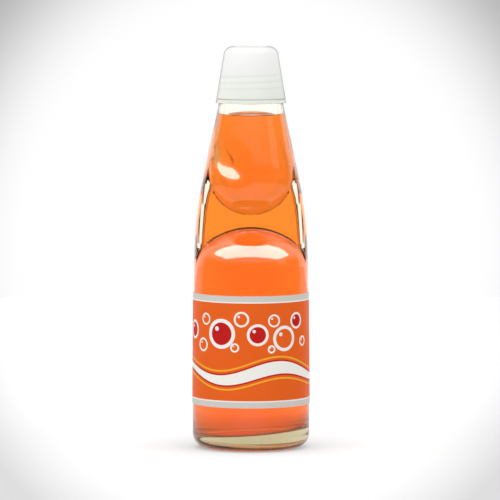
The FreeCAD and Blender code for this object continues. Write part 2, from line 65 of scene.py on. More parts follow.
class Body(Enum):
    """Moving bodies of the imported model."""

    BOTTLE = "bottle"
    GASKET = "gasket"
    CAP = "cap"
    COLLAR = "collar"
    PLUNGER = "plunger"
    MARBLE = "marble"


class LampUse(Enum):
    """What a lamp is hung for."""

    LIGHT = "light"
    CARD = "card"
    BOTH = "both"


class Face(Enum):
    """Faces that the bottle's shape is worked out for."""

    OUTSIDE = "outside of the glass"
    INSIDE = "inside of the glass"
    DRINK = "skin of the drink"


# Shape helpers


def smooth_min(first: np.ndarray, second: np.ndarray, width: float) -> np.ndarray:
    """Join two distances with a rounded crease.

    Args:
        first: Distance to one form.
        second: Distance to the other form.
        width: How far the rounding reaches.

    Returns:
        The distance to both forms together.
    """
    share = np.maximum(width - np.abs(first - second), 0.0) / width
    return np.minimum(first, second) - share * share * width / 4.0


def smooth_max(first: np.ndarray, second: np.ndarray, width: float) -> np.ndarray:
    """Keep what two distances share, with a rounded edge of the given width."""
    return -smooth_min(-first, -second, width)


def ease(value: np.ndarray | float, low: float, high: float) -> np.ndarray:
    """Smooth step from 0 at low to 1 at high."""
    share = np.clip((np.asarray(value, dtype=float) - low) / (high - low), 0.0, 1.0)
    return share * share * (3.0 - 2.0 * share)


def levels(*runs: tuple[float, float, float]) -> np.ndarray:
    """Heights for the rows of a mesh.

    Args:
        runs: Start, end and step of each run, each starting where the last one ended.

    Returns:
        All the heights in order, each once.
    """
    parts = []
    for start, end, step in runs:
        count = max(1, round((end - start) / step))
        parts.append(np.linspace(start, end, count, endpoint=False))
    return np.concatenate([*parts, [runs[-1][1]]])


def bend(centre: tuple[float, float], radius: float, start: float, end: float, steps: int) -> list:
    """Points of an arc in an outline.

    Args:
        centre: Radius and height of the arc's centre.
        radius: Radius of the arc.
        start: First angle in degrees, from outward towards up.
        end: Last angle in degrees.
        steps: How many pieces the arc has.

    Returns:
        The points as pairs of radius and height.
    """
    angles = np.radians(np.linspace(start, end, steps + 1))
    return [(centre[0] + radius * math.cos(a), centre[1] + radius * math.sin(a)) for a in angles]


@dataclass(frozen=True)
class Thread:
    """Ridge of a screw thread."""

    turns: float
    root: float
    crest: float
    pitch: float = 3.18
    run_out: float = 0.07

    def ridge(self, angles: np.ndarray, height: float, start: float) -> np.ndarray:
        """Share of the thread's full depth at one height.

        Args:
            angles: Angles about the axis.
            height: Height of the row.
            start: Height of the ridge's middle where it begins.

        Returns:
            A number from 0 to 1 for each angle.
        """
        ridge = np.zeros_like(angles)
        flank = (self.root - self.crest) / 2.0
        for lap in range(int(self.turns) + 1):
            turn = angles / FULL_TURN + lap
            away = np.abs(height - start - self.pitch * turn)
            rise = np.clip((self.root / 2.0 - away) / flank, 0.0, 1.0)
            start_in = ease(turn, 0.0, self.run_out)
            end_in = 1.0 - ease(turn, self.turns - self.run_out, self.turns)
            ridge = np.maximum(ridge, rise * (start_in * end_in))
        return ridge


@dataclass
class RingMesh:
    """A skin through rings of points about the bottle's axis, or through parts of rings."""

    columns: int = 192
    start: float = 0.0
    span: float = FULL_TURN
    crowding: float = 0.0
    rings: list[np.ndarray] = field(default_factory=list)

    @property
    def closed(self) -> bool:
        """Whether the rings go all the way round."""
        return self.span >= FULL_TURN

    @property
    def angles(self) -> np.ndarray:
        """Angles of the columns, from +X towards +Y.

        Returns:
            One angle for each column. Crowded columns stand closer near the X axis.
        """
        steps = self.columns if self.closed else self.columns - 1
        even = self.start + np.arange(self.columns) * (self.span / steps)
        return even - self.crowding / 2.0 * np.sin(2.0 * even)

    def ring(self, radius: np.ndarray | float, height: np.ndarray | float) -> None:
        """Add a ring.

        Args:
            radius: Radius, one for all columns or one for each.
            height: Height, one for all columns or one for each.
        """
        across = np.broadcast_to(radius, (self.columns,))
        up = np.broadcast_to(height, (self.columns,))
        angles = self.angles
        self.rings.append(np.column_stack((across * np.cos(angles), across * np.sin(angles), up)))

    def point(self, height: float) -> None:
        """Add a single point on the axis."""
        self.rings.append(np.array([[0.0, 0.0, height]]))

    def outline(self, points: Sequence[tuple[float, float]]) -> None:
        """Add a ring for each point of an outline.

        Args:
            points: Pairs of radius and height. One on the axis becomes a single point.
        """
        for radius, height in points:
            if radius <= 0.0:
                self.point(height)
            else:
                self.ring(radius, height)

    def build(self, name: str, looped: bool = False, sharp: float = 40.0) -> bpy.types.Object:
        """Make the object.

        Args:
            name: Name of the piece.
            looped: Whether the last ring joins the first one.
            sharp: Edges that turn by more degrees than this stay sharp.

        Returns:
            The new object, smooth shaded.
        """
        starts = np.cumsum([0] + [len(ring) for ring in self.rings])
        faces: list[tuple[int, ...]] = []
        last = len(self.rings) if looped else len(self.rings) - 1
        around = np.arange(self.columns if self.closed else self.columns - 1)
        beside = (around + 1) % self.columns
        if not self.closed:
            ends = starts[:-1]
            faces += [tuple(ends.tolist()), tuple((ends[::-1] + self.columns - 1).tolist())]
        for index in range(last):
            following = (index + 1) % len(self.rings)
            low, high = int(starts[index]), int(starts[following])
            if len(self.rings[index]) == 1:
                corners = (np.full(self.columns, low), high + beside, high + around)
            elif len(self.rings[following]) == 1:
                corners = (low + around, low + beside, np.full(self.columns, high))
            else:
                corners = (low + around, low + beside, high + beside, high + around)
            faces.extend(map(tuple, np.column_stack(corners).tolist()))
        mesh = bpy.data.meshes.new(name)
        mesh.from_pydata((np.concatenate(self.rings) * MILLIMETRE).tolist(), [], faces)
        mesh.shade_smooth()
        mesh.set_sharp_from_angle(angle=math.radians(sharp))
        piece = bpy.data.objects.new(name, mesh)
        bpy.context.scene.collection.objects.link(piece)
        return piece


# Shader helpers


class ShaderSheet:
    """A node tree with short ways to add and join nodes."""

    def __init__(self, tree: bpy.types.NodeTree) -> None:
        """Keep the tree."""
        self.tree = tree

    def add(self, kind: str, inputs: dict[Any, Any] | None = None, **settings: Any) -> bpy.types.Node:
        """Add a node.

        Args:
            kind: Type of the node.
            inputs: Socket names or numbers, each with a value or with an output to join to it.
            settings: Settings of the node itself.

        Returns:
            The new node.
        """
        node = self.tree.nodes.new(kind)
        for name, setting in settings.items():
            setattr(node, name, setting)
        for socket, given in (inputs or {}).items():
            self.feed(node.inputs[socket], given)
        return node

    def feed(self, socket: bpy.types.NodeSocket, given: Any) -> None:
        """Fill a socket.

        Args:
            socket: The socket.
            given: A value to set in it, or an output to join to it.
        """
        if isinstance(given, bpy.types.NodeSocket):
            self.tree.links.new(given, socket)
        else:
            socket.default_value = given

    def math(self, operation: str, *values: Any, clamp: bool = False) -> bpy.types.NodeSocket:
        """Add a sum of numbers or outputs, and give its output."""
        inputs = dict(enumerate(values))
        return self.add("ShaderNodeMath", inputs, operation=operation, use_clamp=clamp).outputs[0]

    def square(self, value: Any) -> bpy.types.NodeSocket:
        """Multiply a value by itself."""
        return self.math("MULTIPLY", value, value)

    def hypot(self, first: Any, second: Any) -> bpy.types.NodeSocket:
        """Distance that two sides at a right angle span."""
        return self.math("SQRT", self.math("ADD", self.square(first), self.square(second)))

    def place(self) -> list[bpy.types.NodeSocket]:
        """Where a point lies on its object: across, in depth and up."""
        spot = self.add("ShaderNodeTexCoord").outputs["Object"]
        return list(self.add("ShaderNodeSeparateXYZ", {0: spot}).outputs)

    def ramp(self, value: Any, low: float, high: float, to_low: Any = 0.0, to_high: Any = 1.0) -> Any:
        """Smooth step of a value between two limits."""
        inputs = {"Value": value, "From Min": low, "From Max": high, "To Min": to_low, "To Max": to_high}
        return self.add("ShaderNodeMapRange", inputs, interpolation_type="SMOOTHSTEP").outputs["Result"]

    def blend(self, share: Any, first: Any, second: Any) -> bpy.types.NodeSocket:
        """Mix two colours.

        Args:
            share: How much of the second colour shows.
            first: A colour or an output.
            second: A colour or an output.

        Returns:
            The output with the mixed colour.
        """
        node = self.add("ShaderNodeMix", {0: share}, data_type="RGBA")
        for socket, given in ((6, first), (7, second)):
            joined = isinstance(given, bpy.types.NodeSocket)
            self.feed(node.inputs[socket], given if joined else (*given, 1.0))
        return node.outputs[2]

    def group(self, tree: bpy.types.NodeTree, inputs: dict[str, Any]) -> bpy.types.Node:
        """Place a shared effect.

        Args:
            tree: The effect's group.
            inputs: Its input names, each with a value or with an output to join to it.

        Returns:
            The new group node.
        """
        return self.add("ShaderNodeGroup", inputs, node_tree=tree)


class SharedEffects:
    """Shader groups that several finishes use, each built once."""

    def __init__(self) -> None:
        """Build the groups.

        Each is built once, however many finishes use it.
        """
        self.smudge = self._smudge()
        self.ripple = self._ripple()
        self.drift = self._drift()

    @staticmethod
    def _start(name: str, inputs: dict[str, tuple[str, Any]], outputs: dict[str, str]) -> Any:
        """Start a group.

        Args:
            name: Name of the group.
            inputs: Each input's socket type and first value.
            outputs: Each output's socket type.

        Returns:
            The sheet of the group, its input node and its output node.
        """
        tree = bpy.data.node_groups.new(name, "ShaderNodeTree")
        for label, (kind, first) in inputs.items():
            socket = tree.interface.new_socket(name=label, in_out="INPUT", socket_type=kind)
            socket.default_value = first
        for label, kind in outputs.items():
            tree.interface.new_socket(name=label, in_out="OUTPUT", socket_type=kind)
        sheet = ShaderSheet(tree)
        return sheet, sheet.add("NodeGroupInput"), sheet.add("NodeGroupOutput")

    def _smudge(self) -> bpy.types.NodeTree:
        """Build roughness that changes softly, as after handling.

        Returns:
            The group, which puts out a roughness.
        """
        sheet, given, out = self._start(
            "hand_smudges",
            {
                "Scale": ("NodeSocketFloat", 60.0),
                "Lowest": ("NodeSocketFloat", 0.02),
                "Highest": ("NodeSocketFloat", 0.1),
            },
            {"Roughness": "NodeSocketFloat"},
        )
        place = sheet.add("ShaderNodeTexCoord").outputs["Object"]
        noise = sheet.add(
            "ShaderNodeTexNoise",
            {"Vector": place, "Scale": given.outputs["Scale"], "Detail": 4.0, "Distortion": 0.6},
        ).outputs[0]
        rough = sheet.ramp(noise, 0.38, 0.7, given.outputs["Lowest"], given.outputs["Highest"])
        sheet.feed(out.inputs["Roughness"], rough)
        return sheet.tree

    def _ripple(self) -> bpy.types.NodeTree:
        """Build shallow waves that a mould leaves, longer up than around.

        Returns:
            The group, which puts out a height.
        """
        sheet, given, out = self._start(
            "mould_ripple",
            {"Scale": ("NodeSocketFloat", 80.0), "Upward": ("NodeSocketFloat", 0.4)},
            {"Height": "NodeSocketFloat"},
        )
        across, deep, up = sheet.place()
        drawn_up = sheet.math("MULTIPLY", up, given.outputs["Upward"])
        drawn = sheet.add("ShaderNodeCombineXYZ", {0: across, 1: deep, 2: drawn_up})
        noise = sheet.add(
            "ShaderNodeTexNoise",
            {"Vector": drawn.outputs[0], "Scale": given.outputs["Scale"], "Detail": 2.0},
        ).outputs[0]
        sheet.feed(out.inputs["Height"], noise)
        return sheet.tree

    def _drift(self) -> bpy.types.NodeTree:
        """Build a colour that gets a little lighter and darker over the surface.

        Returns:
            The group, which puts out the colour.
        """
        sheet, given, out = self._start(
            "tone_drift",
            {
                "Colour": ("NodeSocketColor", (1.0, 1.0, 1.0, 1.0)),
                "Scale": ("NodeSocketFloat", 40.0),
                "Amount": ("NodeSocketFloat", 0.05),
            },
            {"Colour": "NodeSocketColor"},
        )
        place = sheet.add("ShaderNodeTexCoord").outputs["Object"]
        noise = sheet.add(
            "ShaderNodeTexNoise", {"Vector": place, "Scale": given.outputs["Scale"], "Detail": 3.0}
        ).outputs[0]
        away = sheet.math("MULTIPLY", sheet.math("SUBTRACT", noise, 0.5), given.outputs["Amount"])
        light = sheet.math("ADD", sheet.math("MULTIPLY", away, 2.0), 1.0)
        toned = sheet.add(
            "ShaderNodeHueSaturation", {"Value": light, "Color": given.outputs["Colour"]}
        ).outputs[0]
        sheet.feed(out.inputs["Colour"], toned)
        return sheet.tree


def new_material(name: str) -> tuple[bpy.types.Material, ShaderSheet, bpy.types.Node, bpy.types.Node]:
    """Start a material.

    Args:
        name: Name of the material.

    Returns:
        The material, its sheet, its main shader and its output node.
    """
    material = bpy.data.materials.new(name)
    material.use_nodes = True
    material.node_tree.nodes.clear()
    sheet = ShaderSheet(material.node_tree)
    shader = sheet.add("ShaderNodeBsdfPrincipled")
    output = sheet.add("ShaderNodeOutputMaterial", {"Surface": shader.outputs[0]})
    return material, sheet, shader, output


# Finishes


@dataclass(frozen=True)
class GlassFinish:
    """Clear moulded glass with a faint tint, ripples and an optional mould seam."""

    name: str
    index: float = 1.5
    tint: Colour = (0.48, 0.4, 0.06)
    tint_density: float = 30.0
    smudge_scale: float = 45.0
    smudge_high: float = 0.03
    ripple_scale: float = 70.0
    ripple_depth: float = 0.00012
    seam_width: float = 0.0

    def make(self, effects: SharedEffects) -> bpy.types.Material:
        """Make the material.

        Args:
            effects: The shared effects.

        Returns:
            The new material.
        """
        material, sheet, shader, output = new_material(self.name)
        sheet.feed(shader.inputs["Base Color"], (1.0, 1.0, 1.0, 1.0))
        sheet.feed(shader.inputs["Transmission Weight"], 1.0)
        sheet.feed(shader.inputs["IOR"], self.index)
        smudge = sheet.group(
            effects.smudge, {"Scale": self.smudge_scale, "Lowest": 0.0, "Highest": self.smudge_high}
        )
        ripple = sheet.group(effects.ripple, {"Scale": self.ripple_scale, "Upward": 0.35})
        height = ripple.outputs["Height"]
        if self.seam_width > 0.0:
            height = sheet.math("ADD", height, self._seam(sheet))
        bump = sheet.add(
            "ShaderNodeBump", {"Strength": 1.0, "Distance": self.ripple_depth, "Height": height}
        )
        sheet.feed(shader.inputs["Roughness"], smudge.outputs["Roughness"])
        sheet.feed(shader.inputs["Normal"], bump.outputs[0])
        absorb = sheet.add(
            "ShaderNodeVolumeAbsorption", {"Color": (*self.tint, 1.0), "Density": self.tint_density}
        )
        sheet.feed(output.inputs["Volume"], absorb.outputs[0])
        return material

    def _seam(self, sheet: ShaderSheet) -> bpy.types.NodeSocket:
        """Height of the two lines where the mould's halves met, at the sides."""
        aside = sheet.math("ABSOLUTE", sheet.place()[1])
        return sheet.ramp(aside, 0.0, self.seam_width * MILLIMETRE, 0.6, 0.0)


@dataclass(frozen=True)
class DrinkFinish:
    """Slightly cloudy coloured liquid that takes up light as it passes."""

    name: str
    index: float = 1.34
    stain: Colour = (1.0, 0.3, 0.034)
    sheen_share: float = 0.15
    absorbed: Colour = (0.98, 0.2, 0.1)
    density: float = 20.0
    clearness: float = 0.97
    cloud_scale: float = 30.0
    cloud_amount: float = 0.02

    def make(self, effects: SharedEffects) -> bpy.types.Material:
        """Make the material.

        Args:
            effects: The shared effects.

        Returns:
            The new material.
        """
        material, sheet, shader, output = new_material(self.name)
        cloud = sheet.group(
            effects.drift,
            {"Colour": (*self.stain, 1.0), "Scale": self.cloud_scale, "Amount": self.cloud_amount},
        )
        sheet.feed(shader.inputs["Base Color"], cloud.outputs["Colour"])
        sheet.feed(shader.inputs["Transmission Weight"], self.clearness)
        sheet.feed(shader.inputs["Specular Tint"], (*(self.sheen_share,) * 3, 1.0))
        sheet.feed(shader.inputs["IOR"], self.index)
        sheet.feed(shader.inputs["Roughness"], 0.0)
        absorb = sheet.add(
            "ShaderNodeVolumeAbsorption", {"Color": (*self.absorbed, 1.0), "Density": self.density}
        )
        sheet.feed(output.inputs["Volume"], absorb.outputs[0])
        return material


@dataclass(frozen=True)
class MouldedFinish:
    """Moulded plastic or rubber: tone drift, satin roughness, a fine grain and optional painted shade on
    the outline.
    """

    name: str
    colour: Colour
    low_rough: float = 0.28
    high_rough: float = 0.42
    grain_scale: float = 900.0
    grain_depth: float = 0.00002
    gloss: float = 0.5
    glow: float = 0.0
    glow_reach: float = 0.004
    # Colour of the painted shade on the outline; None leaves the outline unshaded.
    painted_outline_shade: Colour | None = None
    painted_outline_start: float = 0.6

    def make(self, effects: SharedEffects) -> bpy.types.Material:
        """Make the material.

        Args:
            effects: The shared effects.

        Returns:
            The new material.
        """
        material, sheet, shader, _ = new_material(self.name)
        shade = self.shade(sheet, effects)
        # Painted shade: darken the outline where the surface turns away from the view.
        if self.painted_outline_shade:
            shade = self._paint_outline_shade(sheet, shade)
        sheet.feed(shader.inputs["Base Color"], shade)
        smudge = sheet.group(
            effects.smudge, {"Scale": 55.0, "Lowest": self.low_rough, "Highest": self.high_rough}
        )
        sheet.feed(shader.inputs["Roughness"], smudge.outputs["Roughness"])
        grain = sheet.group(effects.ripple, {"Scale": self.grain_scale, "Upward": 1.0})
        bump = sheet.add(
            "ShaderNodeBump",
            {"Strength": 1.0, "Distance": self.grain_depth, "Height": grain.outputs["Height"]},
        )
        sheet.feed(shader.inputs["Normal"], bump.outputs[0])
        sheet.feed(shader.inputs["Specular IOR Level"], self.gloss)
        sheet.feed(shader.inputs["Subsurface Weight"], self.glow)
        sheet.feed(shader.inputs["Subsurface Scale"], self.glow_reach)
        sheet.feed(shader.inputs["Subsurface Radius"], (1.0, 1.0, 0.9))
        return material

    def shade(self, sheet: ShaderSheet, effects: SharedEffects) -> bpy.types.NodeSocket:
        """Colour of the moulding before its painted outline shade."""
        values = {"Colour": (*self.colour, 1.0), "Scale": 70.0, "Amount": 0.03}
        return sheet.group(effects.drift, values).outputs["Colour"]

    def _paint_outline_shade(self, sheet: ShaderSheet, shade: Any) -> bpy.types.NodeSocket:
        """Paint shade on the outline, darker where the surface turns away from the view."""
        turned = sheet.add("ShaderNodeLayerWeight", {"Blend": 0.5}).outputs["Facing"]
        return sheet.blend(sheet.ramp(turned, self.painted_outline_start, 0.96), shade, self.painted_outline_shade)


@dataclass(frozen=True)
class CapFinish(MouldedFinish):
    """Milky plastic, with painted shade where the glass and its thread would show through the thin wall.
    """

    thread_start: float = 180.32
    thread_end: float = 188.32
    thread_pitch: float = 3.18
    thread_fade: float = 1.5
    thread_share: float = 0.4
    painted_thread_shade: Colour = (0.7, 0.72, 0.66)
    # Painted shade, greenish grey, fading in low on the cap.
    painted_foot_shade: Colour = (0.81, 0.845, 0.765)
    foot_low: float = 173.6
    foot_high: float = 196.0

    def shade(self, sheet: ShaderSheet, effects: SharedEffects) -> bpy.types.NodeSocket:
        """Colour of the moulding with painted shade where the glass and thread would show through it."""
        plain = super().shade(sheet, effects)
        return self._paint_thread_shade(sheet, self._paint_foot_shade(sheet, plain))

    def _paint_foot_shade(self, sheet: ShaderSheet, shade: Any) -> bpy.types.NodeSocket:
        """Paint greenish shade on the lower part, standing in for the glass behind the thin skirt."""
        low, high = self.foot_low * MILLIMETRE, self.foot_high * MILLIMETRE
        return sheet.blend(sheet.ramp(sheet.place()[2], low, high, 1.0, 0.0), shade, self.painted_foot_shade)

    def _paint_thread_shade(self, sheet: ShaderSheet, shade: Any) -> bpy.types.NodeSocket:
        """Paint faint slanting lines of shade where the thread would show through the wall.

        Args:
            sheet: The material's sheet.
            shade: The colour so far.

        Returns:
            The colour with the lines.
        """
        across, deep, up = sheet.place()
        start, end = self.thread_start * MILLIMETRE, self.thread_end * MILLIMETRE
        turn = sheet.math("DIVIDE", sheet.math("ARCTAN2", deep, across), FULL_TURN)
        laps = sheet.math("DIVIDE", sheet.math("SUBTRACT", up, start), self.thread_pitch * MILLIMETRE)
        phase = sheet.math("FRACT", sheet.math("SUBTRACT", laps, turn))
        away = sheet.math("ABSOLUTE", sheet.math("SUBTRACT", phase, 0.5))
        line = sheet.ramp(away, 0.0, 0.3, self.thread_share, 0.0)
        edge = self.thread_fade * MILLIMETRE
        below = sheet.ramp(up, start - edge, start + edge)
        above = sheet.ramp(up, end - edge, end + edge, 1.0, 0.0)
        # Painted shade: the slanting lines darken the cap where the thread lies behind the wall.
        share = sheet.math("MULTIPLY", line, sheet.math("MULTIPLY", below, above))
        return sheet.blend(share, shade, self.painted_thread_shade)


@dataclass(frozen=True)
class LabelFinish:
    """Printed film: orange field, pale margins, a wavy ribbon, rising bubbles and a painted glow on its
    inner face.
    """

    name: str
    girth: float
    height: float
    field_colour: Colour = (0.79, 0.12, 0.013)
    margin_colour: Colour = (0.6, 0.6, 0.56)
    pale_colour: Colour = (0.86, 0.85, 0.8)
    red_colour: Colour = (0.52, 0.012, 0.012)
    sun_colour: Colour = (0.86, 0.42, 0.03)
    margin: float = 3.0
    keyline: float = 0.6
    gloss: float = 0.06
    painted_inner_glow_colour: Colour = (0.9, 0.6, 0.42)
    painted_inner_glow_strength: float = 0.75
    marks: tuple[tuple[float, float, float, bool], ...] = (
        (-15.5, 37.0, 6.6, True),
        (-4.8, 44.4, 3.4, False),
        (3.4, 36.6, 4.8, True),
        (11.8, 43.6, 2.8, False),
        (17.6, 34.6, 5.6, False),
        (-25.4, 44.0, 2.6, False),
        (25.6, 43.2, 3.6, True),
        (-8.2, 30.2, 1.9, False),
        (10.4, 29.4, 1.6, False),
        (-27.6, 31.0, 3.0, False),
        (30.8, 32.6, 2.2, False),
        (-37.0, 38.0, 4.2, True),
    )

    def make(self, effects: SharedEffects) -> bpy.types.Material:
        """Make the material.

        Args:
            effects: The shared effects.

        Returns:
            The new material.
        """
        material, sheet, shader, _ = new_material(self.name)
        flat = sheet.add("ShaderNodeUVMap", uv_map="print").outputs[0]
        parts = sheet.add("ShaderNodeSeparateXYZ", {0: flat})
        across, up = parts.outputs["X"], parts.outputs["Y"]
        half = self.girth / 2.0
        spot = sheet.math("WRAP", across, half / 2.0, -half / 2.0)
        print_colour = sheet.group(
            effects.drift, {"Colour": (*self.field_colour, 1.0), "Scale": 60.0, "Amount": 0.025}
        ).outputs["Colour"]
        print_colour = self._ribbon(sheet, across, up, print_colour)
        print_colour = self._bubbles(sheet, spot, up, print_colour)
        print_colour = self._margins(sheet, up, print_colour)
        sheet.feed(shader.inputs["Base Color"], print_colour)
        sheet.feed(shader.inputs["Specular IOR Level"], self.gloss)
        smudge = sheet.group(effects.smudge, {"Scale": 50.0, "Lowest": 0.3, "Highest": 0.46})
        sheet.feed(shader.inputs["Roughness"], smudge.outputs["Roughness"])
        crease = sheet.group(effects.ripple, {"Scale": 130.0, "Upward": 0.15})
        bump = sheet.add(
            "ShaderNodeBump",
            {"Strength": 1.0, "Distance": 0.00006, "Height": crease.outputs["Height"]},
        )
        sheet.feed(shader.inputs["Normal"], bump.outputs[0])
        # Painted light: the inner face glows, standing in for the light that shines on it through the
        # drink.
        back = sheet.blend(self._inside(sheet), (0.0, 0.0, 0.0), self.painted_inner_glow_colour)
        sheet.feed(shader.inputs["Emission Color"], back)
        sheet.feed(shader.inputs["Emission Strength"], self.painted_inner_glow_strength)
        return material

    @staticmethod
    def _inside(sheet: ShaderSheet) -> bpy.types.NodeSocket:
        """Mark the face against the glass, which gets a painted glow standing in for the light that the
        drink sends onto it.

        Args:
            sheet: The material's sheet.

        Returns:
            1 on that face and 0 elsewhere.
        """
        face = sheet.add("ShaderNodeNewGeometry")
        level = {0: face.outputs["Position"], 1: (1.0, 1.0, 0.0)}
        outward = sheet.add("ShaderNodeVectorMath", level, operation="MULTIPLY").outputs[0]
        pair = {0: outward, 1: face.outputs["Normal"]}
        lean = sheet.add("ShaderNodeVectorMath", pair, operation="DOT_PRODUCT").outputs["Value"]
        return sheet.math("LESS_THAN", lean, -0.02)

    def _ribbon(self, sheet: ShaderSheet, across: Any, up: Any, shade: Any) -> bpy.types.NodeSocket:
        """Draw a pale wavy ribbon with red edges, low on the label.

        Args:
            sheet: The material's sheet.
            across: Millimetres around the label from the front.
            up: Millimetres above the label's lower edge.
            shade: The colour so far.

        Returns:
            The colour with the ribbon.
        """
        wave = sheet.math("SINE", sheet.math("MULTIPLY", across, 3.0 * FULL_TURN / self.girth))
        swell = sheet.math(
            "SINE", sheet.math("ADD", sheet.math("MULTIPLY", across, 2.0 * FULL_TURN / self.girth), 1.1)
        )
        middle = sheet.math("ADD", sheet.math("MULTIPLY", wave, 3.2), 17.0)
        away = sheet.math("ABSOLUTE", sheet.math("SUBTRACT", up, middle))
        room = sheet.math("SUBTRACT", away, sheet.math("MULTIPLY", swell, 0.9))
        edge = 0.12
        beside = sheet.math("ABSOLUTE", sheet.math("SUBTRACT", room, 4.6))
        shade = sheet.blend(sheet.ramp(beside, 0.35, 0.35 + edge, 1.0, 0.0), shade, self.sun_colour)
        shade = sheet.blend(sheet.ramp(room, 3.1, 3.1 + edge, 1.0, 0.0), shade, self.red_colour)
        return sheet.blend(sheet.ramp(room, 2.3, 2.3 + edge, 1.0, 0.0), shade, self.pale_colour)

    def _bubbles(self, sheet: ShaderSheet, spot: Any, up: Any, shade: Any) -> bpy.types.NodeSocket:
        """Draw round bubbles above the ribbon, some filled red, each with a glint.

        Args:
            sheet: The material's sheet.
            spot: Millimetres across one repeat of the print.
            up: Millimetres above the label's lower edge.
            shade: The colour so far.

        Returns:
            The colour with the bubbles.
        """
        edge = 0.14
        for left, high, radius, filled in self.marks:
            aside = sheet.math("SUBTRACT", spot, left)
            above = sheet.math("SUBTRACT", up, high)
            far = sheet.hypot(aside, above)
            if filled:
                disc = sheet.ramp(far, radius, radius + edge, 1.0, 0.0)
                shade = sheet.blend(disc, shade, self.red_colour)
            rim = max(0.35, 0.13 * radius)
            beside = sheet.math("ABSOLUTE", sheet.math("SUBTRACT", far, radius))
            shade = sheet.blend(sheet.ramp(beside, rim, rim + edge, 1.0, 0.0), shade, self.pale_colour)
            lift, size = 0.38 * radius, 0.16 * radius
            near = sheet.hypot(sheet.math("ADD", aside, lift), sheet.math("SUBTRACT", above, lift))
            shade = sheet.blend(sheet.ramp(near, size, size + edge, 1.0, 0.0), shade, self.pale_colour)
        return shade

    def _margins(self, sheet: ShaderSheet, up: Any, shade: Any) -> bpy.types.NodeSocket:
        """Draw grey-white margins at both ends, each with a white line inside.

        Args:
            sheet: The material's sheet.
            up: Millimetres above the label's lower edge.
            shade: The colour so far.

        Returns:
            The colour with the margins.
        """
        middle = self.height / 2.0
        away = sheet.math("ABSOLUTE", sheet.math("SUBTRACT", up, middle))
        line = middle - self.margin
        start = line - self.keyline
        shade = sheet.blend(sheet.ramp(away, start, start + 0.1), shade, self.pale_colour)
        return sheet.blend(sheet.ramp(away, line, line + 0.1), shade, self.margin_colour)


# Bottle


class SubAssembly(ABC):
    """Pieces that are built and put in the model together."""

    @abstractmethod
    def add(self, effects: SharedEffects) -> None:
        """Build the pieces in their places in the model."""


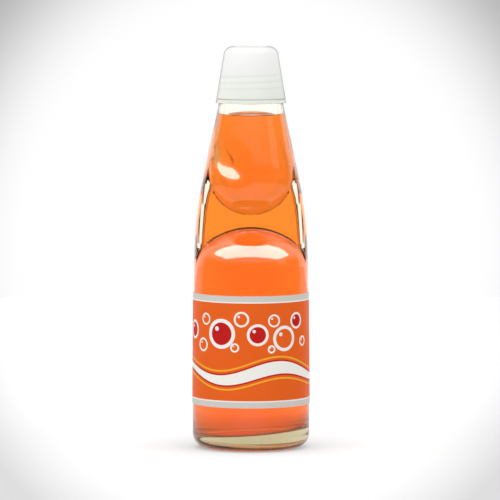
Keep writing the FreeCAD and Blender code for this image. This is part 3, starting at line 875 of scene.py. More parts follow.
@dataclass(frozen=True)
class BottleForm:
    """Sizes of the glass, and the distance from any point to one of its faces."""

    body_radius: float = 29.5
    heel_radius: float = 7.5
    punt_radius: float = 17.0
    punt_depth: float = 2.0
    spring_radius: float = 28.8
    spring_height: float = 92.0
    dome_rise: float = 20.0
    dome_corner: float = 15.0
    neck_lean: float = 1.4
    waist_depth: float = 19.0
    chamber_share: float = 0.5817
    neck_radius: float = 16.3
    neck_height: float = 172.8
    mouth_height: float = 17.2
    bore_radius: float = 9.1
    bore_share: float = 0.98
    glass_wall: float = 3.8
    chamber_wall: float = 7.6
    throat_gap: float = 11.5
    floor_thickness: float = 8.0
    floor_tilt: float = 4.4
    floor_round: float = 6.0
    dimple_radii: tuple[float, float, float] = (9.0, 14.0, 8.0)
    dimple_depth: float = 4.0
    dimple_rise: float = 6.5
    dimple_angle: float = 60.0
    dimple_tilt: float = 38.0
    dimple_wall: float = 4.3
    fill_drop: float = 6.2
    drink_sink: float = 0.15
    crease: float = 0.12
    room_crease: float = 4.0
    waist_round: float = 1.2
    waist_room_round: float = 2.5
    dimple_crease: float = 6.0
    dimple_room_crease: float = 6.0
    crowding: float = 0.4

    @property
    def neck_rise(self) -> float:
        """Height from the spring line to the neck's top."""
        return self.neck_height - self.spring_height

    @property
    def neck_taper(self) -> float:
        """Lean of the neck's cone."""
        return math.atan(self.neck_lean * (self.spring_radius - self.neck_radius) / self.neck_rise)

    @property
    def sweep_radius(self) -> float:
        """Radius of the long sweep from the body to the neck."""
        return self.neck_rise * (1.0 - 1.0 / self.neck_lean) / math.tan(self.neck_taper / 2.0)

    @property
    def chamber_height(self) -> float:
        """Height of the middle of the chamber's ball."""
        return self.spring_height + self.chamber_share * self.neck_rise

    @property
    def chamber_radius(self) -> float:
        """Radius of the chamber's ball, which its cone touches."""
        cone = self.neck_radius + (self.neck_height - self.chamber_height) * math.tan(self.neck_taper)
        return cone * math.cos(self.neck_taper)

    @property
    def crown_radius(self) -> float:
        """Radius of the dome's crown.

        Returns:
            The radius with which the crown runs smoothly into the corner.
        """
        inset = self.spring_radius - self.dome_corner
        spread = self.dome_rise**2 + inset**2 - self.dome_corner**2
        return spread / (2.0 * (self.dome_rise - self.dome_corner))

    @property
    def rim_height(self) -> float:
        """Height of the glass rim."""
        return self.neck_height + self.mouth_height

    @property
    def bore_end(self) -> float:
        """Height where the straight bore starts."""
        return self.chamber_height + self.bore_share * (self.rim_height - self.chamber_height)

    @property
    def fill_height(self) -> float:
        """Height of the drink's surface."""
        return self.neck_height - self.fill_drop

    def wall_radius(self, height: Any) -> Any:
        """Radius of the body's outer wall at a height."""
        slope = (self.spring_radius - self.body_radius) / (self.spring_height - self.heel_radius)
        return self.body_radius + (height - self.heel_radius) * slope

    def inset(self, face: Face) -> float:
        """How far a face lies inside the outer one along most of the wall."""
        sunk = self.glass_wall - self.drink_sink
        return {Face.OUTSIDE: 0.0, Face.INSIDE: self.glass_wall, Face.DRINK: sunk}[face]

    def _dome(self, across: np.ndarray, up: np.ndarray, inset: float) -> np.ndarray:
        """Distance to the body and its dome.

        Args:
            across: Distances from the axis.
            up: Heights.
            inset: How far inside the outer face.

        Returns:
            One distance for each point.
        """
        corner_across = self.spring_radius - self.dome_corner
        crown_up = self.spring_height + self.dome_rise - self.crown_radius
        turn = math.atan2(self.spring_height - crown_up, corner_across)
        wall = across - (self.wall_radius(up) - inset)
        corner = np.hypot(across - corner_across, up - self.spring_height) - (self.dome_corner - inset)
        crown = np.hypot(across, up - crown_up) - (self.crown_radius - inset)
        above = np.where(np.arctan2(up - crown_up, across) > turn, crown, corner)
        return np.where(up < self.spring_height, wall, above)

    def _sweep(self, across: np.ndarray, up: np.ndarray, inset: float) -> np.ndarray:
        """Distance to the long sweep, and to the cone above it.

        Args:
            across: Distances from the axis.
            up: Heights.
            inset: How far inside the outer face.

        Returns:
            One distance for each point.
        """
        centre = self.spring_radius - self.sweep_radius
        sweep = np.hypot(across - centre, up - self.spring_height) - (self.sweep_radius - inset)
        cone = self._cone(across, up) + inset
        turned = np.arctan2(up - self.spring_height, across - centre) > self.neck_taper
        low = across - (self.spring_radius - inset)
        return np.where(up < self.spring_height, low, np.where(turned, cone, sweep))

    def _cone(self, across: np.ndarray, up: np.ndarray) -> np.ndarray:
        """Distance to the neck's outer cone."""
        edge = self.neck_radius + (self.neck_height - up) * math.tan(self.neck_taper)
        return (across - edge) * math.cos(self.neck_taper)

    def _outer_neck(self, across: np.ndarray, up: np.ndarray) -> np.ndarray:
        """Distance to the chamber's ball and the cone that touches it.

        Args:
            across: Distances from the axis.
            up: Heights.

        Returns:
            One distance for each point.
        """
        ball = np.hypot(across, up - self.chamber_height) - self.chamber_radius
        turned = np.arctan2(up - self.chamber_height, across) > self.neck_taper
        return np.where(turned, self._cone(across, up), ball)

    def _inner_neck(self, across: np.ndarray, up: np.ndarray, sink: float) -> np.ndarray:
        """Distance to the room in the chamber, cone and bore.

        Args:
            across: Distances from the axis.
            up: Heights.
            sink: How much larger the room is made.

        Returns:
            One distance for each point.
        """
        radius = self.chamber_radius - self.chamber_wall
        rise = self.bore_end - self.chamber_height
        reach = math.hypot(rise, self.bore_radius)
        lean = math.atan2(rise, self.bore_radius) - math.acos(radius / reach)
        ball = np.hypot(across, up - self.chamber_height) - radius
        edge = self.bore_radius + np.maximum(self.bore_end - up, 0.0) * math.tan(lean)
        cone = (across - edge) * math.cos(lean)
        return np.where(np.arctan2(up - self.chamber_height, across) > lean, cone, ball) - sink

    def _dimple(self, across: Sequence[np.ndarray], side: float, growth: float) -> np.ndarray:
        """Distance to the egg shape of one dimple.

        Args:
            across: Arrays of x, y and z.
            side: -1 for the front dimple, +1 for the back one.
            growth: How much larger the egg shape is than the dimple.

        Returns:
            The distance, less than 0 in the egg shape.
        """
        depth, length, width = (radius + growth for radius in self.dimple_radii)
        heading = math.radians(180.0 - side * self.dimple_angle)
        slope = math.radians(side * self.dimple_tilt)
        reach = self.chamber_radius - self.dimple_depth + self.dimple_radii[0]
        x, y, z = across
        out = x * math.cos(heading) + y * math.sin(heading) - reach
        along = -x * math.sin(heading) + y * math.cos(heading)
        up = z - self.chamber_height - self.dimple_rise
        long = along * math.cos(slope) + up * math.sin(slope)
        wide = up * math.cos(slope) - along * math.sin(slope)
        near = np.sqrt((out / depth) ** 2 + (long / length) ** 2 + (wide / width) ** 2)
        pull = np.sqrt((out / depth**2) ** 2 + (long / length**2) ** 2 + (wide / width**2) ** 2)
        return near * (near - 1.0) / np.maximum(pull, 1e-6)

    def distance(self, x: np.ndarray, y: np.ndarray, z: np.ndarray, face: Face) -> np.ndarray:
        """Distance from points to one face, less than 0 inside it.

        Args:
            x: Points across.
            y: Points in depth.
            z: Points up.
            face: Which face.

        Returns:
            One distance for each point.
        """
        across = np.hypot(x, y)
        inset = self.inset(face)
        sink = self.drink_sink if face is Face.DRINK else 0.0
        pinch = self.waist_depth / 2.0 if face is Face.OUTSIDE else self.throat_gap / 2.0 + sink
        side = self._sweep(across, z, inset)
        growth = 0.0
        crease = self.crease if face is Face.OUTSIDE else self.room_crease
        if face is Face.OUTSIDE:
            neck = self._outer_neck(across, z)
        else:
            neck = self._inner_neck(across, z, sink)
            end = self.sweep_radius - inset
            roof = self.spring_height + end * math.sin(self.neck_taper)
            roof += self.spring_radius - self.sweep_radius + end * math.cos(self.neck_taper)
            side = smooth_max(side, (across + z - roof) / math.sqrt(2.0), 8.0)
            growth = self.dimple_wall - sink
        edge = self.waist_round if face is Face.OUTSIDE else self.waist_room_round
        waist = smooth_max(np.abs(y) - pinch, side, edge)
        form = smooth_min(self._dome(across, z, inset), waist, crease)
        form = smooth_min(form, neck, crease)
        soft = self.dimple_crease if face is Face.OUTSIDE else self.dimple_room_crease
        for turn in (-1.0, 1.0):
            form = smooth_max(form, -self._dimple((x, y, z), turn, growth), soft)
        return form

    def radii(self, angles: np.ndarray, heights: np.ndarray, face: Face) -> np.ndarray:
        """Radius of a face at each height and angle.

        Args:
            angles: Angles about the axis.
            heights: Heights of the rows.
            face: Which face.

        Returns:
            An array with a row for each height.
        """
        across, up = np.meshgrid(angles, heights)
        east, north = np.cos(across), np.sin(across)
        low = np.zeros_like(across)
        high = np.full_like(across, self.body_radius + 10.0)
        for _ in range(34):
            middle = (low + high) / 2.0
            inside = self.distance(middle * east, middle * north, up, face) < 0.0
            low = np.where(inside, middle, low)
            high = np.where(inside, high, middle)
        return (low + high) / 2.0


@dataclass
class GlassBottle(SubAssembly):
    """The moulded bottle: base, body, dome, pinched waist, chamber and threaded mouth."""

    form: BottleForm
    finish: GlassFinish
    groove_radius: float = 13.6
    groove_length: float = 2.8
    neck_round: float = 1.5
    bead_radius: float = 15.2
    bead_length: float = 2.4
    bead_round: float = 0.8
    root_radius: float = 12.4
    rim_round: float = 0.8
    thread: Thread = Thread(turns=1.6, root=2.1, crest=1.1)
    thread_depth: float = 1.3
    thread_lead: float = 2.0

    def build(self) -> bpy.types.Object:
        """Build the closed glass skin, outside and inside.

        Returns:
            The new piece.
        """
        skin = RingMesh(crowding=self.form.crowding)
        self._base(skin)
        self._wall(skin)
        self._mouth(skin)
        rows = inside_rows(self.form)
        for radius, height in reversed(room_rings(self.form, skin.angles, rows, Face.INSIDE)):
            skin.ring(radius, height)
        skin.point(self.form.floor_thickness)
        return skin.build("moulded_bottle", sharp=25.0)

    def _base(self, skin: RingMesh) -> None:
        """Add the hollow under the base, the ring it stands on, and the heel.

        Args:
            skin: The skin that the rings are added to.
        """
        form = self.form
        hollow = (form.punt_radius**2 + form.punt_depth**2) / (2.0 * form.punt_depth)
        skin.point(form.punt_depth)
        for across in np.linspace(1.5, form.punt_radius, 11):
            skin.ring(across, form.punt_depth - hollow + math.sqrt(hollow**2 - across**2))
        foot = form.body_radius - form.heel_radius
        skin.ring((form.punt_radius + foot) / 2.0, 0.0)
        skin.outline(bend((foot, form.heel_radius), form.heel_radius, -90.0, 0.0, 16)[:-1])

    def _wall(self, skin: RingMesh) -> None:
        """Add the outside from the heel to the neck's top.

        Args:
            skin: The skin that the rings are added to.
        """
        form = self.form
        rows = levels(
            (form.heel_radius, form.spring_height - 4.0, 2.4),
            (form.spring_height - 4.0, 94.0, 0.6),
            (94.0, 112.0, 0.2),
            (112.0, 126.0, 0.4),
            (126.0, 160.0, 0.8),
            (160.0, form.neck_height, 1.2),
        )
        for height, radius in zip(rows, form.radii(skin.angles, rows, Face.OUTSIDE)):
            skin.ring(radius, height)

    def _mouth(self, skin: RingMesh) -> None:
        """Add the neck's rounded shoulder, groove, bead, threaded finish and rim.

        Args:
            skin: The skin that the rings are added to.
        """
        form = self.form
        groove = form.neck_height + self.neck_round
        bead = groove + self.groove_length
        top = bead + self.bead_length
        soft = self.bead_round
        middle = self.bead_radius - soft
        shoulder = form.neck_radius - self.neck_round
        points = bend((shoulder, form.neck_height), self.neck_round, 15.0, 90.0, 5)
        points += [(self.groove_radius + 0.3, groove), (self.groove_radius, groove + 0.3)]
        points += [(self.groove_radius, bead - 0.3), (self.groove_radius + 0.3, bead)]
        points += bend((middle, bead + soft), soft, -90.0, 0.0, 5)
        points += bend((middle, top - soft), soft, 0.0, 90.0, 5)
        points += [(self.root_radius + 0.4, top), (self.root_radius, top + 0.4)]
        skin.outline(points)
        end = form.rim_height - self.rim_round
        for height in levels((top + 0.6, end, 0.3)):
            ridge = self.thread.ridge(skin.angles, height, top + self.thread_lead)
            skin.ring(self.root_radius + self.thread_depth * ridge, height)
        skin.outline(bend((self.root_radius - self.rim_round, end), self.rim_round, 15.0, 90.0, 5))
        skin.outline(bend((form.bore_radius + 0.6, form.rim_height - 0.6), 0.6, 90.0, 165.0, 5))

    def add(self, effects: SharedEffects) -> None:
        """Build the bottle in its place in the model."""
        fit_piece(self.build(), self.finish.make(effects), "glass_bottle", Body.BOTTLE)


def inside_rows(form: BottleForm) -> np.ndarray:
    """Heights of the rows inside the glass.

    Args:
        form: The bottle's sizes.

    Returns:
        The heights from the inner heel to the rim.
    """
    return levels(
        (form.floor_thickness + form.floor_round, form.spring_height - 4.0, 2.4),
        (form.spring_height - 4.0, 102.0, 0.6),
        (102.0, 128.0, 0.5),
        (128.0, 160.0, 0.8),
        (160.0, form.rim_height - 0.6, 1.2),
    )


def room_rings(form: BottleForm, angles: np.ndarray, rows: np.ndarray, face: Face) -> list:
    """Rings of the room inside the glass, over its tilted floor.

    Args:
        form: The bottle's sizes.
        angles: Angles of the columns.
        rows: Heights of the rows above the inner heel.
        face: Inside of the glass or skin of the drink.

    Returns:
        Pairs of radius and height, from near the middle of the floor upwards.
    """
    wall = form.radii(angles, rows[:1], face)[0]
    low = form.floor_thickness - (form.drink_sink if face is Face.DRINK else 0.0)
    lift = math.tan(math.radians(form.floor_tilt)) * np.cos(angles)
    rings = []
    corner = wall - form.floor_round
    for share in np.linspace(0.12, 1.0, 8, endpoint=False):
        rings.append((corner * share, low + corner * share * lift))
    for turn in np.radians(np.linspace(-90.0, 0.0, 12, endpoint=False)):
        radius = corner + form.floor_round * math.cos(turn)
        height = low + form.floor_round * (1.0 + math.sin(turn))
        rings.append((radius, height + radius * lift))
    for height, radius in zip(rows, form.radii(angles, rows, face)):
        fade = 1.0 - float(ease(height, form.floor_thickness + form.floor_round, 34.0))
        rings.append((radius, height + radius * lift * fade))
    return rings


@dataclass
class DrinkFill(SubAssembly):
    """The drink, whose skin is a hair inside the glass so that no air shows between them."""

    form: BottleForm
    finish: DrinkFinish
    climb: float = 0.9
    climb_width: float = 1.1

    def build(self) -> bpy.types.Object:
        """Build the drink with the edge of its surface drawn up the glass.

        Returns:
            The new piece.
        """
        form = self.form
        skin = RingMesh(crowding=form.crowding)
        skin.point(form.floor_thickness - form.drink_sink)
        rows = inside_rows(form)
        edge = form.fill_height + self.climb
        rows = np.append(rows[rows < edge - 0.4], edge)
        rings = room_rings(form, skin.angles, rows, Face.DRINK)
        for radius, height in rings:
            skin.ring(radius, height)
        wall = rings[-1][0]
        for step in (0.25, 0.55, 0.95, 1.5, 2.3, 3.6, 5.5, 8.0):
            skin.ring(wall - step, form.fill_height + self.climb * math.exp(-step / self.climb_width))
        skin.point(form.fill_height)
        return skin.build("orange_drink_fill", sharp=70.0)

    def add(self, effects: SharedEffects) -> None:
        """Build the drink in its place in the model."""
        fit_piece(self.build(), self.finish.make(effects), "drink", Body.BOTTLE)


@dataclass
class LabelWrap(SubAssembly):
    """Printed film around the front and sides of the body, with a gap at the back."""

    form: BottleForm
    finish: LabelFinish
    bottom: float = 22.5
    height: float = 56.0
    thickness: float = 0.2
    clearance: float = 0.1
    gap: float = 28.0
    columns: int = 320

    def build(self) -> bpy.types.Object:
        """Build the film and lay its print flat around it.

        Returns:
            The new piece.
        """
        half_gap = self.gap / self.form.body_radius / 2.0
        skin = RingMesh(self.columns, math.pi / 2.0 + half_gap, FULL_TURN - 2.0 * half_gap)
        rows = np.linspace(self.bottom, self.bottom + self.height, 24)
        for height in rows[::-1]:
            skin.ring(self.form.wall_radius(height) + self.clearance, height)
        soft = 0.05
        for height in np.concatenate(([rows[0] + soft], rows[1:-1], [rows[-1] - soft])):
            skin.ring(self.form.wall_radius(height) + self.clearance + self.thickness, height)
        piece = skin.build("printed_wrap", looped=True, sharp=50.0)
        self._lay_print(piece.data)
        return piece

    def _lay_print(self, mesh: bpy.types.Mesh) -> None:
        """Set the flat place of each corner, in millimetres from the front and the lower edge.

        Args:
            mesh: The film's mesh.
        """
        spots = np.empty(len(mesh.vertices) * 3)
        mesh.vertices.foreach_get("co", spots)
        spots = spots.reshape(-1, 3) / MILLIMETRE
        corners = np.empty(len(mesh.loops), dtype=np.int32)
        mesh.loops.foreach_get("vertex_index", corners)
        turn = np.arctan2(spots[:, 0], -spots[:, 1])
        across = turn / FULL_TURN * self.finish.girth
        flat = np.column_stack((across, spots[:, 2] - self.bottom))[corners]
        layer = mesh.uv_layers.new(name="print")
        layer.uv.foreach_set("vector", flat.astype(np.float32).ravel())

    def add(self, effects: SharedEffects) -> None:
        """Build the film in its place in the model."""
        fit_piece(self.build(), self.finish.make(effects), "label_wrap", Body.BOTTLE)


# Mouth


@dataclass
class GlassMarble(SubAssembly):
    """The ball that closes the bottle from inside."""

    finish: GlassFinish
    radius: float = 8.4
    height: float = 185.207

    def build(self) -> bpy.types.Object:
        """Build the ball.

        Returns:
            The new piece.
        """
        skin = RingMesh(columns=96)
        skin.point(self.height - self.radius)
        skin.outline(bend((0.0, self.height), self.radius, -86.25, 86.25, 46))
        skin.point(self.height + self.radius)
        return skin.build("glass_marble", sharp=80.0)

    def add(self, effects: SharedEffects) -> None:
        """Build the ball in its place in the model."""
        fit_piece(self.build(), self.finish.make(effects), "marble", Body.MARBLE)


@dataclass
class MouthSeal(SubAssembly):
    """Rubber ring between the glass rim and the cap, the marble's seat."""

    finish: MouldedFinish
    bore: float = 7.0
    outer: float = 12.65
    bottom: float = 190.0
    thickness: float = 2.5
    soft: float = 0.4

    def build(self) -> bpy.types.Object:
        """Build the ring with soft edges.

        Returns:
            The new piece.
        """
        top = self.bottom + self.thickness
        soft = self.soft
        points = bend((self.bore + soft, self.bottom + soft), soft, 180.0, 270.0, 4)
        points += bend((self.outer - soft, self.bottom + soft), soft, -90.0, 0.0, 4)
        points += bend((self.outer - soft, top - soft), soft, 0.0, 90.0, 4)
        points += bend((self.bore + soft, top - soft), soft, 90.0, 180.0, 4)
        skin = RingMesh(columns=128)
        skin.outline(points)
        return skin.build("seal_ring", looped=True)

    def add(self, effects: SharedEffects) -> None:
        """Build the ring in its place in the model."""
        fit_piece(self.build(), self.finish.make(effects), "mouth_gasket", Body.GASKET)


@dataclass
class ScrewCap(SubAssembly):
    """Tapered screw cap with a drinking mouth, and the band that it leaves on the neck."""

    finish: MouldedFinish
    band_finish: MouldedFinish
    foot_radius: float = 17.75
    top_radius: float = 13.1
    corner: float = 4.6
    foot: float = 173.6
    bottom: float = 175.8
    top: float = 202.0
    skirt_inner: float = 15.6
    skirt_end: float = 180.3
    bore: float = 14.05
    bore_end: float = 188.5
    pocket: float = 12.75
    pocket_end: float = 192.5
    web_hole: float = 6.2
    web_top: float = 194.0
    well_radius: float = 8.6
    well_round: float = 0.4
    thread: Thread = Thread(turns=1.25, root=1.7, crest=0.8)
    thread_start: float = 181.5
    edge: float = 0.35
    band_inner: float = 16.55
    band_top: float = 175.68
    hook_radius: float = 14.3
    hook_thickness: float = 0.7
    bridges: int = 8
    bridge_width: float = 0.8
    bridge_depth: float = 0.35

    def side(self, height: float) -> float:
        """Radius of the cap's outer cone at a height."""
        slope = (self.foot_radius - self.top_radius) / (self.top - self.foot)
        return self.foot_radius - (height - self.foot) * slope

    def build(self) -> bpy.types.Object:
        """Build the cap, with the thread inside it.

        Returns:
            The new piece.
        """
        skin = RingMesh(columns=200)
        lean = math.degrees(math.atan((self.foot_radius - self.top_radius) / (self.top - self.foot)))
        edge = self.edge
        points = [(self.skirt_inner, self.bottom + edge / 2.0)]
        points += [(self.skirt_inner + edge / 2.0, self.bottom)]
        points += bend((self.side(self.bottom) - edge, self.bottom + edge), edge, -90.0, lean, 5)
        reach = self.corner * math.tan(math.radians(45.0 - lean / 2.0))
        low = self.top - reach * math.cos(math.radians(lean))
        points += [(self.side(up), up) for up in np.linspace(self.bottom + 1.5, low - 0.4, 18)]
        points += bend((self.top_radius - reach, self.top - self.corner), self.corner, lean, 90.0, 16)
        soft = self.well_round
        points += bend((self.well_radius + soft, self.top - soft), soft, 90.0, 180.0, 5)
        points += [(self.well_radius, self.web_top + 0.2), (self.well_radius - 0.2, self.web_top)]
        points += [(self.web_hole + 0.2, self.web_top), (self.web_hole, self.web_top - 0.2)]
        points += [(self.web_hole, self.pocket_end + 0.15), (self.web_hole + 0.15, self.pocket_end)]
        points += [(self.pocket, self.pocket_end), (self.pocket, self.bore_end + 0.1)]
        points += [(self.bore, self.bore_end)]
        skin.outline(points)
        start = self.thread_start + self.thread.pitch / 2.0
        for height in levels((self.bore_end - 0.1, self.skirt_end, 0.2)):
            ridge = self.thread.ridge(skin.angles, height, start)
            skin.ring(self.bore - (self.bore - self.pocket) * ridge, height)
        skin.ring(self.skirt_inner, self.skirt_end)
        return skin.build("screw_cap", looped=True, sharp=35.0)

    def build_band(self) -> bpy.types.Object:
        """Build the break-off band: wall, hook under the bead, and bridges.

        Returns:
            The new piece.
        """
        skin = RingMesh(columns=200)
        edge = self.edge
        hook = self.band_top - self.hook_thickness
        points = [(self.band_inner, self.foot + edge / 2.0), (self.band_inner + edge / 2.0, self.foot)]
        points += bend((self.foot_radius - edge, self.foot + edge), edge, -90.0, 8.0, 5)
        points += bend((self.side(self.band_top) - edge, self.band_top - edge), edge, 8.0, 90.0, 5)
        points += [(self.hook_radius + 0.2, self.band_top), (self.hook_radius, self.band_top - 0.2)]
        points += [(self.hook_radius, hook + 0.1), (self.hook_radius + 0.1, hook)]
        points += [(self.band_inner, hook)]
        skin.outline(points)
        band = skin.build("break_band", looped=True, sharp=35.0)
        self._bridges(band.data)
        return band

    def _bridges(self, mesh: bpy.types.Mesh) -> None:
        """Add the small bridges that hold the band to the cap until it is first turned.

        Args:
            mesh: The band's mesh.
        """
        spots = [tuple(vertex.co) for vertex in mesh.vertices]
        faces = [tuple(face.vertices) for face in mesh.polygons]
        low, high = self.band_top - 0.3, self.bottom - 0.03
        for number in range(self.bridges):
            angle = FULL_TURN * number / self.bridges
            out = Vector((math.cos(angle), math.sin(angle), 0.0))
            beside = Vector((-out.y, out.x, 0.0)) * (self.bridge_width / 2.0)
            first = len(spots)
            for height, narrow in ((low, 1.0), (high, 0.7)):
                for across, turn in ((0.0, -1.0), (1.0, -1.0), (1.0, 1.0), (0.0, 1.0)):
                    radius = self.band_inner + across * self.bridge_depth
                    spot = out * radius + beside * turn * narrow + Vector((0.0, 0.0, height))
                    spots.append(tuple(spot * MILLIMETRE))
            for side in range(4):
                following = (side + 1) % 4
                faces.append((first + side, first + following, first + 4 + following, first + 4 + side))
            faces.append((first + 3, first + 2, first + 1, first))
            faces.append((first + 4, first + 5, first + 6, first + 7))
        mesh.clear_geometry()
        mesh.from_pydata(spots, [], faces)
        mesh.shade_smooth()
        mesh.set_sharp_from_angle(angle=math.radians(35.0))

    def add(self, effects: SharedEffects) -> None:
        """Build the cap and its band in their places in the model.

        Args:
            effects: Shared node groups of the finishes.
        """
        fit_piece(self.build(), self.finish.make(effects), "mouth_cap", Body.CAP)
        band = self.band_finish.make(effects)
        fit_piece(self.build_band(), band, "tamper_band", Body.BOTTLE)


@dataclass
class PushPlunger(SubAssembly):
    """Plunger in the cap's mouth, and the collar that guides it."""

    finish: MouldedFinish
    collar_finish: MouldedFinish
    collar_outer: float = 8.45
    collar_inner: float = 7.1
    collar_bottom: float = 194.0
    collar_top: float = 201.2
    head_radius: float = 6.9
    head_bottom: float = 200.0
    head_top: float = 201.4
    head_dish: float = 0.4
    stem_radius: float = 5.0
    stem_bore: float = 3.6
    stem_crown: float = 1.0
    tip: float = 193.096
    edge: float = 0.2
    grip_rings: int = 3
    grip_depth: float = 0.07

    def build_collar(self) -> bpy.types.Object:
        """Build the collar with soft edges.

        Returns:
            The new piece.
        """
        edge = self.edge
        inner, outer = self.collar_inner, self.collar_outer
        points = bend((inner + edge, self.collar_bottom + edge), edge, 180.0, 270.0, 3)
        points += bend((outer - edge, self.collar_bottom + edge), edge, -90.0, 0.0, 3)
        points += bend((outer - 0.4, self.collar_top - 0.4), 0.4, 0.0, 90.0, 5)
        points += bend((inner + 0.4, self.collar_top - 0.4), 0.4, 90.0, 180.0, 5)
        skin = RingMesh(columns=128)
        skin.outline(points)
        return skin.build("guide_collar", looped=True)

    def build(self) -> bpy.types.Object:
        """Build the plunger: hollow stem and dished head with fine grip rings.

        Returns:
            The new piece.
        """
        edge = self.edge
        crown = self.head_bottom - self.stem_crown
        skin = RingMesh(columns=128)
        skin.point(crown)
        skin.outline([(1.8, crown), (self.stem_bore - edge, crown), (self.stem_bore, crown - edge)])
        skin.outline(bend((self.stem_bore + edge, self.tip + edge), edge, 180.0, 270.0, 3))
        skin.outline(bend((self.stem_radius - edge, self.tip + edge), edge, -90.0, 0.0, 3))
        skin.ring(self.stem_radius, self.head_bottom - 0.3)
        skin.ring(self.stem_radius + 0.3, self.head_bottom)
        skin.outline(bend((self.head_radius - edge, self.head_bottom + edge), edge, -90.0, 0.0, 3))
        skin.outline(bend((self.head_radius - edge, self.head_top - edge), edge, 0.0, 90.0, 3))
        rim = self.head_radius - self.head_dish
        for radius in np.linspace(rim, 0.3, 44):
            share = radius / rim
            dish = self.head_top - self.head_dish * (1.0 - share * share)
            wave = max(0.0, math.sin(share * self.grip_rings * FULL_TURN)) if 0.3 < share < 0.9 else 0.0
            skin.ring(radius, dish - self.grip_depth * wave)
        skin.point(self.head_top - self.head_dish)
        return skin.build("push_plunger", sharp=35.0)

    def add(self, effects: SharedEffects) -> None:
        """Build the plunger and its collar in their places in the model.

        Args:
            effects: Shared node groups of the finishes.
        """
        fit_piece(self.build(), self.finish.make(effects), "plunger", Body.PLUNGER)
        collar = self.collar_finish.make(effects)
        fit_piece(self.build_collar(), collar, "plunger_ring", Body.COLLAR)


def fit_piece(
    piece: bpy.types.Object, material: bpy.types.Material, node: str, body: Body
) -> None:
    """Put a piece in its place in the model.

    Args:
        piece: The new piece.
        material: Its material.
        node: The solid that it stands for.
        body: The body that it moves with.
    """
    piece.data.materials.clear()
    piece.data.materials.append(material)
    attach(piece, body.value)
    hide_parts(node)
    log.info("%s stands for %s and rides on %s", piece.name, node, body.value)


# Studio


@dataclass(frozen=True)
class Lamp:
    """A soft rectangular lamp."""

    name: str
    spot: Place
    aim: Place
    size: tuple[float, float]
    power: float
    use: LampUse

    def hang(self) -> None:
        """Hang the lamp.

        A card shows in glossy surfaces only, and a plain light doesn't show in them.
        """
        lamp = bpy.data.lights.new(self.name, "AREA")
        lamp.shape = "RECTANGLE"
        lamp.size, lamp.size_y = self.size
        lamp.energy = self.power
        holder = bpy.data.objects.new(self.name, lamp)
        holder.visible_diffuse = self.use is not LampUse.CARD
        holder.visible_glossy = self.use is not LampUse.LIGHT
        holder.visible_transmission = self.use is LampUse.BOTH
        set_up(holder, self.spot, self.aim)


def set_up(holder: bpy.types.Object, spot: Place, aim: Place) -> None:
    """Stand a lamp or camera in the scene.

    Args:
        holder: The lamp or camera.
        spot: Where it stands.
        aim: What it points at.
    """
    holder.location = spot
    holder.rotation_euler = (Vector(aim) - Vector(spot)).to_track_quat("-Z", "Y").to_euler()
    bpy.context.scene.collection.objects.link(holder)


